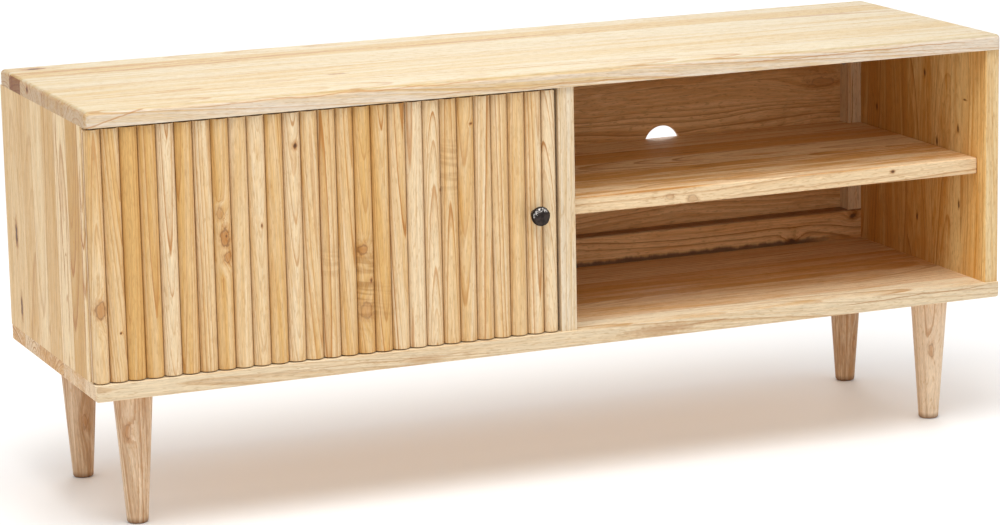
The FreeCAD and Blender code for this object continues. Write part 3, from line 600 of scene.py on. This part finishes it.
class TVSTAND_OT_bottom_panel(bpy.types.Operator):
    """Bottom panel: staves along the width, paler along the front"""
    bl_idname = "tvstand.bottom_panel"
    bl_label = "Bottom panel"

    def execute(self, context):
        case = context.scene.tv_case
        board = Board("Bottom panel wood", "bottom_panel", "flat")
        w = board.w
        first = 0.044
        staves = board.staves((first, 0.128, 0.228, 0.290), (0.04, 0.30, 0.85, 0.20, 0.70), 2.2)
        board.crack(0.0105, 0.720, 0.130, 0.55, 0.0016, 0.03, edge=True)
        board.crack(0.0140, 1.030, 0.220, 0.6, lean=0.022, edge=True)
        board.crack(0.0100, 0.330, 0.260, 0.45, lean=-0.012, edge=True)
        board.stain(0, 0.690, 0.0070, 0.50, 7, deep=0.009)
        board.stain(0, 0.390, 0.0060, 0.35, 4, deep=0.006)
        front = board.facing(board.face_across)
        board.tint(front, (0.79, 0.83, 0.86))
        strip = w.times(board.facing(board.face_through, 0.3, 0.9, way=1),
                        w.math("LESS_THAN", board.across, board.corner[0] + first))
        board.tint(strip, (1.00, 1.12, 1.24))
        board.finish(case.inner_pale, case.inner_honey, wander=0.020, lines=0.6,
                     streaks=w.times_plus(front, -0.5, 1.3), **staves)
        return {"FINISHED"}


class TVSTAND_OT_left_side(bpy.types.Operator):
    """Left side panel: upright staves of mixed tone with a few dark knots"""
    bl_idname = "tvstand.left_side"
    bl_label = "Left side panel"

    def execute(self, context):
        case = context.scene.tv_case
        board = Board("Left side wood", "left_side_panel", "side")
        staves = board.staves((0.0107, 0.0567, 0.1077, 0.1557, 0.2027, 0.2447),
                              (0.00, 1.00, 0.05, 0.68, 0.28, 0.66, 0.42), 1.3, show=0, rise=0.10,
                              arches={2: (0.004, 0.016, 0.09), 4: (-0.006, 0.030, -0.07)})
        board.knot(0.285, 0.1165, 0.0044, 1.0, 3.6)
        board.knot(0.276, 0.0304, 0.0038, 1.0, 3.6)
        board.stain(0.0800, 0.195, 0.0042, 0.45, 8)
        board.stain(0.0760, 0.080, 0.0046, 0.45, 1.3)
        board.stain(0.1570, 0.028, 0.0046, 0.40, 1.6)
        board.crack(0.0082, 0.143, 0.240, 0.95, 0.0020, -0.030)
        board.crack(0.0900, 0.190, 0.210, 0.7, 0.0028, 0.085)
        board.crack(0.0700, 0.120, 0.190, 0.6, 0.0024, -0.060)
        board.finish(case.side_pale, case.side_honey, wander=0.024, gap=0.0062, streaks=0.62, lines=0.9,
                     pores=0.22, **staves)
        return {"FINISHED"}


class TVSTAND_OT_right_side(bpy.types.Operator):
    """Right side panel: golden front stave, darker knotty staves behind it"""
    bl_idname = "tvstand.right_side"
    bl_label = "Right side panel"

    def execute(self, context):
        case = context.scene.tv_case
        board = Board("Right side wood", "right_side_panel", "side")
        staves = board.staves((0.060, 0.084, 0.130, 0.192, 0.250), (0.50, 0.00, 0.45, 0.80, 1.0, 0.95),
                              4.1, show=0, rise=0.12)
        for across, along in ((0.067, 0.1816), (0.1185, 0.158), (0.2728, 0.1797), (0.0643, 0.0862),
                              (0.168, 0.0537), (0.150, 0.240)):
            board.knot(across, along, 0.0020, 1.0, 2.4, sway=0.7)
        board.knot(0.0504, 0.2198, 0.0034, stretch=0.32, sway=0.0)
        board.crack(0.078, 0.150, 0.260, 0.4)
        board.tint(board.facing(board.face_through, way=-1), (1.0, 0.90, 0.60))
        board.tint(board.facing(board.face_across, way=-1), (0.82, 0.80, 0.67))
        board.finish(case.inner_pale, case.inner_honey, wander=0.026, streaks=1.3, lines=0.7, pores=0.35,
                     **staves)
        return {"FINISHED"}


class TVSTAND_OT_divider(bpy.types.Operator):
    """Divider panel: pale and straight grained"""
    bl_idname = "tvstand.divider"
    bl_label = "Divider panel"

    def execute(self, context):
        board = Board("Divider wood", "divider_panel", "side")
        staves = board.staves((0.048, 0.120, 0.205, 0.270), (0.22, 0.55, 0.35, 0.70, 0.45), 3.0, show=0,
                              depth=0.06)
        board.dims.append((0.92, 0.98, 1.05))
        board.finish(board.timber.pale, board.timber.honey, lines=0.45, pores=0.34, **staves)
        return {"FINISHED"}


class TVSTAND_OT_shelf(bpy.types.Operator):
    """Shelf: streaky staves along the width and a pale front edge with three small knots"""
    bl_idname = "tvstand.shelf"
    bl_label = "Shelf"

    def execute(self, context):
        case = context.scene.tv_case
        board = Board("Shelf wood", "shelf", "flat")
        staves = board.staves((0.022, 0.072, 0.125, 0.190, 0.250), (0.02, 0.45, 1.00, 0.05, 1.00, 0.30),
                              5.2, depth=0.04)
        half = board.thick / 2
        board.knot(0, 0.1306, 0.0032, 0.22, sway=0.5, deep=half)
        board.knot(0, 0.1600, 0.0036, 0.26, sway=0.5, deep=half - 0.004)
        board.knot(0, 0.4302, 0.0018, 0.90, sway=0.4, deep=half + 0.003)
        board.crack(0.006, 0.330, 0.300, 0.40, lean=0.012, edge=True)
        for across, along in ((0.262, 0.120), (0.248, 0.185), (0.205, 0.250), (0.150, 0.090),
                              (0.185, 0.400)):
            board.stain(across, along, 0.0030, 0.75, 9)
        front = board.facing(board.face_across)
        board.tint(front, (0.86, 0.85, 0.81))
        board.tint(board.facing(board.face_through, 0.3, 0.9, way=1), (1.17, 1.16, 1.14))
        board.finish(case.inner_pale, case.inner_honey, wander=0.022, lines=0.85, pores=0.35,
                     streaks=board.w.times_plus(front, -1.5, 2.2), **staves)
        return {"FINISHED"}


class TVSTAND_OT_back_panel(bpy.types.Operator):
    """Back panel: broad figured boards, coloured browner and more orange than the case as painted shade of
    the bay, with the outer face tinted back towards the case's tone
    """
    bl_idname = "tvstand.back_panel"
    bl_label = "Back panel"

    def execute(self, context):
        case = context.scene.tv_case
        board = Board("Back panel wood", "back_panel", "wall")
        staves = board.staves((0.075, 0.150, 0.215), (0.50, 0.62, 0.55, 0.45), 0.9, show=0, depth=0.025,
                              lean=0.02, rise=0.05)
        board.knot(0.205, board.run - 0.045, 0.006, 0.25, 3)
        board.crack(0.168, 0.700, 0.500, 0.3, lean=0.02)
        # The outer face, out of the bay, is tinted back towards the case's timber tone; the inner face
        # keeps the painted shade colour.
        board.tint(board.facing(board.face_through, way=1), (0.88, 1.03, 1.18))
        board.finish(case.shaded_back_pale, case.shaded_back_honey, gap=0.0072, wander=0.06, streaks=1.3, lines=0.75,
                     pores=0.45, seam_depth=0.4, **staves)
        return {"FINISHED"}


class TVSTAND_OT_battens(bpy.types.Operator):
    """Battens and rails behind the case: rough offcuts, each rail with a barky lower edge"""
    bl_idname = "tvstand.battens"
    bl_label = "Battens and rails"

    def execute(self, context):
        case = context.scene.tv_case
        for number, node in enumerate(sorted(name for name in NODES if name.startswith("rear_batten"))):
            board = Board(f"Batten wood {number + 1}", node, "upright")
            board.crack(0.006, 0.120, 0.140, lean=0.01)
            pith = (0.03 - board.centre[0], 0.02 - board.corner[1], 3.7 * number + 1.1)
            board.finish(case.inner_pale, case.inner_honey, tone=0.30, pith=pith, lean=(0.03, 0.02, 0),
                         lines=0.7, pores=0.4)
        for number, node in enumerate(("rear_rail_left", "rear_rail_right")):
            board = Board(f"Rail wood {number + 1}", node, "wall")
            w = board.w
            foot, head = board.corner[0], board.corner[0] + board.wide
            end = board.corner[2] + board.run
            board.knot(0.0037, board.run - 0.1014, 0.0050, 0.9, 1.4)
            board.knot(0.0289, board.run - 0.0117, 0.0040, 0.8, 1.4)
            wave = w.noise(w.join(0, 0, w.times(board.along, 38.0)), detail=4.0, roughness=0.65)
            edge = w.times_plus(wave, 0.016, foot - 0.003)
            bark = w.span(w.minus(board.across, edge), -0.002, 0.003, 0.85, 0.0)
            reach = w.span(board.along, end - 0.09, end - 0.02, 1.0, 0.0)
            board.knots = w.most(board.knots, w.times(bark, reach))
            # Painted shade: a dark line along each rail's top edge, standing in for the shadow gap between
            # rail and back panel.
            board.knots = w.most(board.knots, w.span(board.across, head - 0.0030, head - 0.0008, 0.0, 0.6))
            pith = (0.008 - board.centre[0], 0.012 - board.corner[1], 5.9 + number)
            # The rails take the back panel's painted shade colours.
            board.finish(case.shaded_back_pale, case.shaded_back_honey, tone=0.35, pith=pith, lean=(0.02, 0.012, 0),
                         gap=0.0044, wander=0.05, streaks=1.7, lines=1.3, pores=0.45)
        return {"FINISHED"}


class TVSTAND_OT_dowels(bpy.types.Operator):
    """Dowels that join the panels"""
    bl_idname = "tvstand.dowels"
    bl_label = "Dowels"

    def execute(self, context):
        board = Board("Dowel wood", "case_dowels", "upright")
        board.finish(board.timber.pale, board.timber.honey, tone=0.3, gap=0.003)
        return {"FINISHED"}


# ---- the door

# How honey-coloured each slat is, from the hinge to the knob.
SLAT_TONES = (0.58, 0.52, 0.98, 0.92, 0.00, 0.79, 0.40, 0.82, 0.47, 0.21, 0.69, 0.27, 0.49, 0.39,
              0.60, 0.82, 0.84, 0.46, 0.07, 0.26, 0.63, 0.68, 0.23, 0.48, 0.59, 0.33, 0.00)
# Knots: height above the slat's foot, offset from its middle, radius, hardness, stretch.
SLAT_KNOTS = {
    1: ((0.083, 0.001, 0.0056, 0.42, 1.7),),
    2: ((0.055, 0.002, 0.0010, 1.0, 1.2),),
    8: ((0.178, -0.004, 0.0036, 0.30, 1.7), (0.150, 0.001, 0.0054, 0.50, 1.9),
        (0.128, 0.003, 0.0044, 0.40, 1.3), (0.152, 0.002, 0.0015, 0.7, 1.6)),
    10: ((0.160, 0.002, 0.0012, 0.8, 2.4),),
    12: ((0.247, 0.002, 0.0030, 0.95, 1.4),),
    16: ((0.120, -0.004, 0.0046, 0.45, 1.2), (0.084, 0.005, 0.0022, 0.8, 1.3),
         (0.050, -0.002, 0.0060, 0.30, 1.6)),
    20: ((0.180, 0.009, 0.0012, 0.8, 1.5),),
    22: ((0.254, 0.005, 0.0022, 0.7, 0.7),),
}
# Flat-sawn slats, which show long arches: pith depth and how fast it climbs (arches close upwards
# where it is positive), with the ring gap.
SLAT_ARCHES = {5: (0.050, -0.035, 0.0018), 10: (0.045, -0.055, 0.0021), 12: (0.040, -0.060, 0.0024),
               16: (0.050, -0.050, 0.0022), 17: (0.045, -0.030, 0.0020), 20: (0.055, 0.040, 0.0022),
               1: (0.040, 0.030, 0.0022)}
# Slats whose rings lean strongly across them, in metres per metre.
SLAT_LEANS = {2: 0.085, 13: 0.095, 15: 0.060, 18: 0.040, 22: -0.070, 27: 0.120}
# Curly slats: height of the bars' middle above the foot, how far they reach and how dark they are.
SLAT_RIPPLES = {14: (0.110, 0.030, 0.30), 16: (0.080, 0.065, 0.70), 17: (0.060, 0.030, 0.30),
                21: (0.205, 0.045, 0.40)}


class TVSTAND_OT_slats(bpy.types.Operator):
    """Slats: every one its own timber, so tone and figure change from slat to slat"""
    bl_idname = "tvstand.slats"
    bl_label = "Door slats"

    def execute(self, context):
        slats = context.scene.tv_slats
        for number in range(1, SLAT_COUNT + 1):
            board = Board(f"Slat wood {number:02d}", f"door_slat_{number:02d}", "upright")
            middle, _, centre = board.centre
            for up, aside, radius, hard, stretch in SLAT_KNOTS.get(number, ()):
                board.knot(board.wide / 2 + aside, up, radius, hard, stretch)
            if number in SLAT_RIPPLES:
                board.ripple(*SLAT_RIPPLES[number])
            if number in SLAT_ARCHES:
                depth, climb, gap = SLAT_ARCHES[number]
                aside, tilt = 0.002 * sin(number), 0.0
            else:
                depth, climb, gap = 0.030 + 0.012 * cos(number * 1.7), 0.03 * sin(number * 3.1), slats.gap
                aside, tilt = 0.045 * sin(number * 2.4), 0.03 * sin(number * 1.9)
            tilt = SLAT_LEANS.get(number, tilt)
            pith = (aside - middle - tilt * centre, depth - board.corner[1] - climb * centre,
                    number * 1.37)
            # Painted shade along the slat's edges, where the grooves between slats fall into shadow.
            groove_shade_line(board, middle, board.wide / 2, slats.groove)
            board.finish(slats.pale, slats.honey, tone=SLAT_TONES[number - 1], pith=pith,
                         lean=(tilt, climb, 0), gap=gap, wander=0.010, lines=0.9, pores=0.32, streaks=0.9)
        return {"FINISHED"}


def groove_shade_line(board, middle, half, depth):
    """Painted shade: a thin dark line at a slat's edges, standing in for the shadow in the groove between
    slats.
    """
    w = board.w
    off = w.over(w.apart(board.across, middle), half)
    board.tint(w.span(off, 0.93, 1.0, 0.0, depth), (0.42, 0.24, 0.11))


class TVSTAND_OT_door_backing(bpy.types.Operator):
    """Backing board behind the slats"""
    bl_idname = "tvstand.door_backing"
    bl_label = "Door backing"

    def execute(self, context):
        board = Board("Door backing wood", "door_backing", "upright")
        cuts = [board.wide * part for part in (0.14, 0.30, 0.43, 0.58, 0.74, 0.87)]
        staves = board.staves(cuts, (0.42, 0.65, 0.30, 0.55, 0.75, 0.38, 0.60), 6.3, depth=0.06, rise=0.12)
        board.knot(0.190, 0.200, 0.005, stretch=1.8)
        board.knot(0.430, 0.080, 0.004, 0.6, 1.8)
        board.finish(board.timber.pale, board.timber.honey, wander=0.02, lines=0.65, pores=0.32, **staves)
        return {"FINISHED"}


# How brown each leg is: front left, front right, rear left, rear right.
LEG_TONES = (0.34, 0.00, 0.62, 0.88)


class TVSTAND_OT_legs(bpy.types.Operator):
    """Legs: pinkish brown timber with dark streaks, a little darker at the foot"""
    bl_idname = "tvstand.legs"
    bl_label = "Legs"

    def execute(self, context):
        legs = context.scene.tv_legs
        nodes = sorted(name for name in NODES if name.startswith(("leg_front", "leg_rear")))
        for number, (node, tone) in enumerate(zip(nodes, LEG_TONES)):
            board = Board(f"Leg wood {number + 1}", node, "upright")
            w = board.w
            x, y, z = board.centre
            board.knot(board.wide / 2 - 0.012 + 0.006 * number, 0.110 - 0.02 * number, 0.003, 0.3, 3)
            board.dims.append(w.mix(w.span(board.along, 0.0, 0.009), (0.45, 0.36, 0.30), WHITE))
            tilt = 0.05 - 0.03 * number
            pith = (0.020 - 0.008 * number - x - tilt * z, 0.030 - y, 2.9 * number)
            board.finish(legs.pale, legs.honey, tone=tone, pith=pith, gap=0.0046, lean=(tilt, 0, 0),
                         wander=0.02, streaks=1.3, lines=0.7, pores=0.35)
        return {"FINISHED"}


# ---- metal and mouldings

def hard_surface(name, tint, second_tone, roughness, metallic=1.0):
    """Metal or moulding: two tones in soft clouds, with fine scratches in its gloss and relief."""
    material, w = open_material(name)
    place = w.add("ShaderNodeTexCoord").outputs["Object"]
    cloud = w.noise(place, 260.0, 3.0, 0.6)
    scratches = w.noise(w.vector("MULTIPLY", place, (900.0, 900.0, 90.0)), 1.0, 2.0)
    paint = w.mix(w.span(cloud, 0.45, 0.70), tint, scaled(tint, second_tone))
    rough = w.times_plus(scratches, 0.25, roughness - 0.12)
    close_material(w, paint, rough, scratches, 0.3, 0.00012, Metallic=metallic)
    return material


def scaled(tint, part):
    """The same colour, darker or paler."""
    return [channel * part for channel in tint]


def hammered_iron(knob, centre, radius):
    """Blackened iron with a planished face, with painted highlights in flecks on its upper shoulder, where
    the light catches the hammered ridges.
    """
    material, w = open_material("Hammered iron")
    place = w.add("ShaderNodeTexCoord").outputs["Object"]
    x, _, z = w.split(w.vector("SUBTRACT", place, tuple(centre)))
    pits = w.noise(place, 700.0, 3.0, 0.6)
    broad = w.noise(place, 240.0, 2.0)
    paint = w.mix(w.span(broad, 0.4, 0.62), knob.iron, scaled(knob.iron, 1.9))
    out = w.over(w.vector("LENGTH", w.join(x, 0.0, z)), radius)
    shoulder = w.times(w.span(out, 0.50, 0.62), w.span(out, 0.88, 0.97, 1.0, 0.0))
    # Painted highlight: bright flecks on the upper left of the shoulder, where light catches the ridges.
    upper = w.span(w.times_plus(x, -0.35, z), radius * 0.15, radius * 0.45)
    glint_spots = w.span(w.noise(place, 620.0, 1.0), 0.51, 0.57)
    paint = w.mix(w.times(w.times(shoulder, upper), glint_spots), paint, knob.second_tone)
    # Painted shade: the rim's band is darkened nearly to black, standing in for the shaded side of the
    # head.
    paint = w.mix(w.span(out, 0.88, 0.97, 0.0, 0.8), paint, scaled(knob.iron, 0.2))
    close_material(w, paint, w.span(pits, 0.2, 0.8, 0.26, 0.48), pits, 0.5, 0.0003, Metallic=0.8)
    return material


def clean(bm):
    """Merge points that meet and turn every face outwards."""
    bmesh.ops.remove_doubles(bm, verts=bm.verts, dist=MERGE_DISTANCE)
    bmesh.ops.recalc_face_normals(bm, faces=bm.faces)


def new_piece(name, bm, material, body, replaced):
    """Turn a bmesh into a finished piece that stands for a CAD node."""
    clean(bm)
    mesh = bpy.data.meshes.new(name)
    bm.to_mesh(mesh)
    bm.free()
    mesh.materials.append(material)
    piece = bpy.data.objects.new(name, mesh)
    bpy.context.scene.collection.objects.link(piece)
    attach(piece, body)
    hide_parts(replaced)


def spun(bm, profile, steps):
    """Closed solid from a profile of radius and height, turned about Z."""
    points = [bm.verts.new((out, 0, up)) for out, up in profile]
    edges = [bm.edges.new(pair) for pair in zip(points, points[1:])]
    bmesh.ops.spin(bm, geom=points + edges, cent=(0, 0, 0), axis=(0, 0, 1), angle=2 * pi, steps=steps,
                   use_merge=True, dvec=(0, 0, 0))
    clean(bm)


# Outline of the knob, from its foot to the middle of its face: share of radius, share of depth.
KNOB_PROFILE = ((0.0, 0.0), (0.56, 0.0), (0.56, 0.13), (0.44, 0.17), (0.42, 0.34), (0.52, 0.42),
                (0.84, 0.46), (0.97, 0.52), (1.0, 0.60), (1.0, 0.70), (0.95, 0.82), (0.84, 0.91),
                (0.62, 0.965), (0.34, 0.99), (0.0, 1.0))


# Rounds of hammer blows: slant, reach as a share of the radius, unevenness, turn from round to round.
KNOB_BLOWS = ((radians(28), 0.93, 1.7, 0.0), (radians(60), 0.62, 2.9, 0.4))


class TVSTAND_OT_knob(bpy.types.Operator):
    """Mushroom knob: a turned profile whose shoulder and face are hammered into flats"""
    bl_idname = "tvstand.knob"
    bl_label = "Knob"

    def execute(self, context):
        knob = context.scene.tv_knob
        low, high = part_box("door_knob")
        radius, depth = (high.x - low.x) / 2, high.y - low.y
        foot = Vector(((low.x + high.x) / 2, high.y, (low.z + high.z) / 2))
        bm = bmesh.new()
        spun(bm, [(out * radius, up * depth) for out, up in KNOB_PROFILE], KNOB_STEPS)
        outer = [edge for edge in bm.edges if edge.verts[0].co.z > depth * 0.44]
        bmesh.ops.subdivide_edges(bm, edges=outer, cuts=1, use_grid_fill=True)
        centre = Vector((0, 0, 0.62 * depth))
        shoulder = 0.5 * depth
        for number in range(knob.marks):
            turn = 2 * pi * number / knob.marks + 0.25 * sin(number * 3.7)
            for tilt, reach, wobble, offset in KNOB_BLOWS:
                angle = turn + offset
                lean = Vector((cos(angle) * cos(tilt), sin(angle) * cos(tilt), sin(tilt)))
                press(bm, centre, lean, radius * reach - knob.mark_depth * 0.4 * sin(number * wobble),
                      shoulder)
        press(bm, centre, Vector((0.06, -0.10, 1)).normalized(), 0.37 * depth, shoulder)
        stand_up = Matrix.Translation(foot) @ Matrix.Rotation(pi / 2, 4, "X")
        bmesh.ops.transform(bm, matrix=stand_up, verts=bm.verts)
        new_piece("hammered_knob", bm, hammered_iron(knob, foot, radius), "door", "door_knob")
        return {"FINISHED"}


def press(bm, centre, lean, reach, shoulder):
    """Press everything beyond a plane back onto it, as a hammer blow does."""
    for vert in bm.verts:
        beyond = (vert.co - centre).dot(lean) - reach
        if beyond > 0 and vert.co.z > shoulder:
            vert.co -= lean * beyond


def islands(node):
    """Points of each separate solid of a CAD node."""
    bm = bmesh.new()
    bm.from_mesh(NODES[node].data)
    bmesh.ops.remove_doubles(bm, verts=bm.verts, dist=MERGE_DISTANCE)
    left = set(bm.verts)
    while left:
        island, reached = [], [left.pop()]
        while reached:
            vert = reached.pop()
            island.append(vert.co.copy())
            beside = {edge.other_vert(vert) for edge in vert.link_edges} & left
            left -= beside
            reached += beside
        yield island
    bm.free()


KNOB_STEPS = 72
SCREW_STEPS = 24
# Pan head's outline from its seat up: share of the head's radius, share of its rise.
PAN_HEAD = ((0.96, 0.0), (1.0, 0.12), (0.97, 0.5), (0.80, 0.86), (0.48, 0.98))


def add_screw(bm, island, recess):
    """Pan head screw with a cross recess, where a CAD screw's points lie."""
    low = Vector([min(point[axis] for point in island) for axis in range(3)])
    high = Vector([max(point[axis] for point in island) for axis in range(3)])
    size, middle = high - low, (low + high) / 2
    axis = max(range(3), key=lambda number: size[number])
    across = [number for number in range(3) if number != axis]
    spread = {point[axis]: 0.0 for point in island}
    for point in island:
        away = Vector([point[number] - middle[number] for number in across]).length
        spread[point[axis]] = max(spread[point[axis]], away)
    head = max(spread.values())
    wide = [place for place, away in spread.items() if away > head * 0.7]
    sense = 1 if max(wide) - middle[axis] > middle[axis] - min(wide) else -1
    tip, top = (low[axis], high[axis])[::sense]
    shank = spread[tip]
    headless = shank > head * 0.9
    seat = top if headless else (min(wide) if sense > 0 else max(wide))
    rise, reach = abs(top - seat), abs(seat - tip)
    profile = [(0, -reach), (shank * 0.3, -reach), (shank, -reach + shank * 2), (shank, 0)]
    if rise:
        profile += [(head * out, rise * up) for out, up in PAN_HEAD]
    profile.append((0, rise))
    made = bmesh.new()
    spun(made, profile, SCREW_STEPS)
    cut_cross(made, head * recess, head * 0.12, rise * 0.4 if rise else -shank * 0.8, -shank * 0.1)
    facing = Vector([sense if number == axis else 0 for number in range(3)])
    spot = middle.copy()
    spot[axis] = seat
    turn = Vector((0, 0, 1)).rotation_difference(facing).to_matrix().to_4x4()
    bmesh.ops.transform(made, matrix=Matrix.Translation(spot) @ turn, verts=made.verts)
    mesh = bpy.data.meshes.new("screw")
    made.to_mesh(mesh)
    made.free()
    bm.from_mesh(mesh)
    bpy.data.meshes.remove(mesh)


def cut_cross(made, arm, half, floor, lowest):
    """Sink a cross, whose arms have a length and half a width, to its floor in the faces that lie
    above the lowest place."""
    for direction in (Vector((1, 0, 0)), Vector((0, 1, 0))):
        for place in (-arm, -half, half, arm):
            upper = [face for face in made.faces if face.calc_center_median().z > lowest]
            geom = list({part for face in upper for part in (face, *face.edges, *face.verts)})
            bmesh.ops.bisect_plane(made, geom=geom, dist=CUT_DISTANCE, plane_co=direction * place,
                                   plane_no=direction)
    cross = []
    for face in made.faces:
        spot = face.calc_center_median()
        narrow, wide = sorted((abs(spot.x), abs(spot.y)))
        if face.normal.z > 0.3 and narrow < half and wide < arm:
            cross.append(face)
    sunk = bmesh.ops.extrude_face_region(made, geom=cross)["geom"]
    for vert in (part for part in sunk if isinstance(part, bmesh.types.BMVert)):
        vert.co.z = floor
    bmesh.ops.delete(made, geom=[face for face in cross if face.is_valid], context="FACES_ONLY")
    bmesh.ops.recalc_face_normals(made, faces=made.faces)


class TVSTAND_OT_screws(bpy.types.Operator):
    """Pan head screws of the back panel, battens, catch, strike plate and knob"""
    bl_idname = "tvstand.screws"
    bl_label = "Screws"

    def execute(self, context):
        metal = context.scene.tv_metal
        zinc = hard_surface("Zinc plate", metal.zinc, 0.7, 0.36)
        for node, body in (("back_screws", "case"), ("batten_screws", "case"), ("catch_screws", "case"),
                           ("strike_screw", "door"), ("knob_screw", "door")):
            bm = bmesh.new()
            for island in islands(node):
                add_screw(bm, island, metal.recess)
            new_piece(f"{node}_cross_head", bm, zinc, body, node)
        return {"FINISHED"}


class TVSTAND_OT_catch(bpy.types.Operator):
    """Magnetic catch: moulded housing, ferrite magnet and steel strike plate"""
    bl_idname = "tvstand.catch"
    bl_label = "Catch"

    def execute(self, context):
        metal = context.scene.tv_metal
        dress("catch_housing", hard_surface("Brown moulding", metal.moulding, 0.85, 0.48, 0.0))
        dress("catch_magnet", hard_surface("Ferrite", metal.ferrite, 0.7, 0.55, 0.2))
        dress("strike_plate", hard_surface("Strike steel", metal.zinc, 0.7, 0.42))
        return {"FINISHED"}


class TVSTAND_OT_hinge(bpy.types.Operator):
    """Hinge pins and their brass bushes"""
    bl_idname = "tvstand.hinge"
    bl_label = "Hinge"

    def execute(self, context):
        metal = context.scene.tv_metal
        dress("hinge_pins", hard_surface("Pin steel", metal.zinc, 0.8, 0.28))
        dress("hinge_bushes", hard_surface("Bush brass", metal.brass, 0.75, 0.34))
        return {"FINISHED"}


class TVSTAND_OT_leg_fixings(bpy.types.Operator):
    """Threaded inserts and bolts that hold the legs"""
    bl_idname = "tvstand.leg_fixings"
    bl_label = "Leg fixings"

    def execute(self, context):
        metal = context.scene.tv_metal
        steel = hard_surface("Bolt steel", scaled(metal.zinc, 0.85), 0.55 / 0.85, 0.40)
        dress("leg_bolts", steel)
        dress("leg_inserts", steel)
        return {"FINISHED"}


# ---- the stage

FLOOR_HALF = 30
SENSOR_WIDTH = 36
VIEW_END = 200
# Where the overhead lamp hangs and looks, measured from the top panel, and where the far lamp does.
LAMP_PLACES = ((-0.3, -0.55, 1.6), (-0.05, -0.05, 0.0))
FAR_LAMP_PLACES = ((3.5, 8.0, 5.0), (3.5, 8.6, 0.0))
FAR_LAMP_SIZE = 4.0


class TVSTAND_OT_stage(bpy.types.Operator):
    """Pale floor, even sky, overhead lamp, far lamp and camera"""
    bl_idname = "tvstand.stage"
    bl_label = "Stage"

    def execute(self, context):
        scene = context.scene
        stage = scene.tv_stage
        lay_floor(scene, stage)
        world = bpy.data.worlds.new("Even sky")
        world.use_nodes = True
        sky = world.node_tree.nodes["Background"]
        sky.inputs["Color"].default_value = (1, 1, 1, 1)
        sky.inputs["Strength"].default_value = stage.sky
        scene.world = world
        top = Vector((0, 0, CAD_BOUNDS[1][2]))
        hang_lamp(scene, "overhead", stage.lamp, stage.lamp_size,
                  *(top + Vector(place) for place in LAMP_PLACES))
        hang_lamp(scene, "far_lamp", stage.far_lamp, FAR_LAMP_SIZE, *map(Vector, FAR_LAMP_PLACES))
        camera = bpy.data.cameras.new("camera")
        camera.lens = stage.lens
        camera.sensor_width = SENSOR_WIDTH
        camera.shift_x, camera.shift_y = stage.shift
        camera.clip_end = VIEW_END
        view = bpy.data.objects.new("camera", camera)
        turn = Matrix.Rotation(stage.yaw, 4, "Z") @ Matrix.Rotation(pi / 2 + stage.pitch, 4, "X")
        turn = turn @ Matrix.Rotation(stage.roll, 4, "Z")
        view.matrix_world = Matrix.Translation(stage.place) @ turn
        scene.collection.objects.link(view)
        scene.camera = view
        scene.view_settings.view_transform = "Standard"
        return {"FINISHED"}


def lay_floor(scene, stage):
    """Wide plain floor."""
    bm = bmesh.new()
    bmesh.ops.create_grid(bm, x_segments=1, y_segments=1, size=FLOOR_HALF)
    mesh = bpy.data.meshes.new("floor")
    bm.to_mesh(mesh)
    bm.free()
    floor = bpy.data.objects.new("floor", mesh)
    scene.collection.objects.link(floor)
    material = bpy.data.materials.new("Pale floor")
    material.use_nodes = True
    shader = material.node_tree.nodes["Principled BSDF"]
    shader.inputs["Base Color"].default_value = (*stage.floor, 1)
    shader.inputs["Roughness"].default_value = 0.9
    shader.inputs["Specular IOR Level"].default_value = 0.1
    mesh.materials.append(material)


def hang_lamp(scene, name, power, size, place, target):
    """Square area lamp that looks at a target."""
    light = bpy.data.lights.new(name, "AREA")
    light.energy = power
    light.size = size
    lamp = bpy.data.objects.new(name, light)
    lamp.location = place
    lamp.rotation_euler = (target - place).to_track_quat("-Z", "Y").to_euler()
    scene.collection.objects.link(lamp)


# ---- the add-on

OPERATORS = (
    TVSTAND_OT_stage, TVSTAND_OT_top_panel, TVSTAND_OT_bottom_panel, TVSTAND_OT_left_side,
    TVSTAND_OT_right_side, TVSTAND_OT_divider, TVSTAND_OT_shelf, TVSTAND_OT_back_panel,
    TVSTAND_OT_battens, TVSTAND_OT_dowels, TVSTAND_OT_slats, TVSTAND_OT_door_backing, TVSTAND_OT_legs,
    TVSTAND_OT_knob, TVSTAND_OT_screws, TVSTAND_OT_catch, TVSTAND_OT_hinge, TVSTAND_OT_leg_fixings,
)


class VIEW3D_PT_tv_stand(bpy.types.Panel):
    """Buttons and settings for the TV stand"""
    bl_idname = "VIEW3D_PT_tv_stand"
    bl_label = "TV stand"
    bl_space_type = "VIEW_3D"
    bl_region_type = "UI"
    bl_category = "TV stand"

    def draw(self, context):
        for operator in OPERATORS:
            self.layout.operator(operator.bl_idname)
        for name, kind in SETTINGS.items():
            box = self.layout.box()
            box.label(text=kind.__doc__)
            for setting in kind.__annotations__:
                box.prop(getattr(context.scene, name), setting)


def register():
    """Register every class and hang the settings on the scene."""
    for name, kind in SETTINGS.items():
        bpy.utils.register_class(kind)
        setattr(bpy.types.Scene, name, PointerProperty(type=kind))
    for kind in (*OPERATORS, VIEW3D_PT_tv_stand):
        bpy.utils.register_class(kind)


def unregister():
    """Undo register, last first."""
    for kind in (VIEW3D_PT_tv_stand, *reversed(OPERATORS)):
        bpy.utils.unregister_class(kind)
    for name, kind in reversed(SETTINGS.items()):
        delattr(bpy.types.Scene, name)
        bpy.utils.unregister_class(kind)


def main():
    """Make everything."""
    register()
    for operator in OPERATORS:
        family, name = operator.bl_idname.split(".")
        getattr(getattr(bpy.ops, family), name)()


if __name__ == "__main__":
    main()
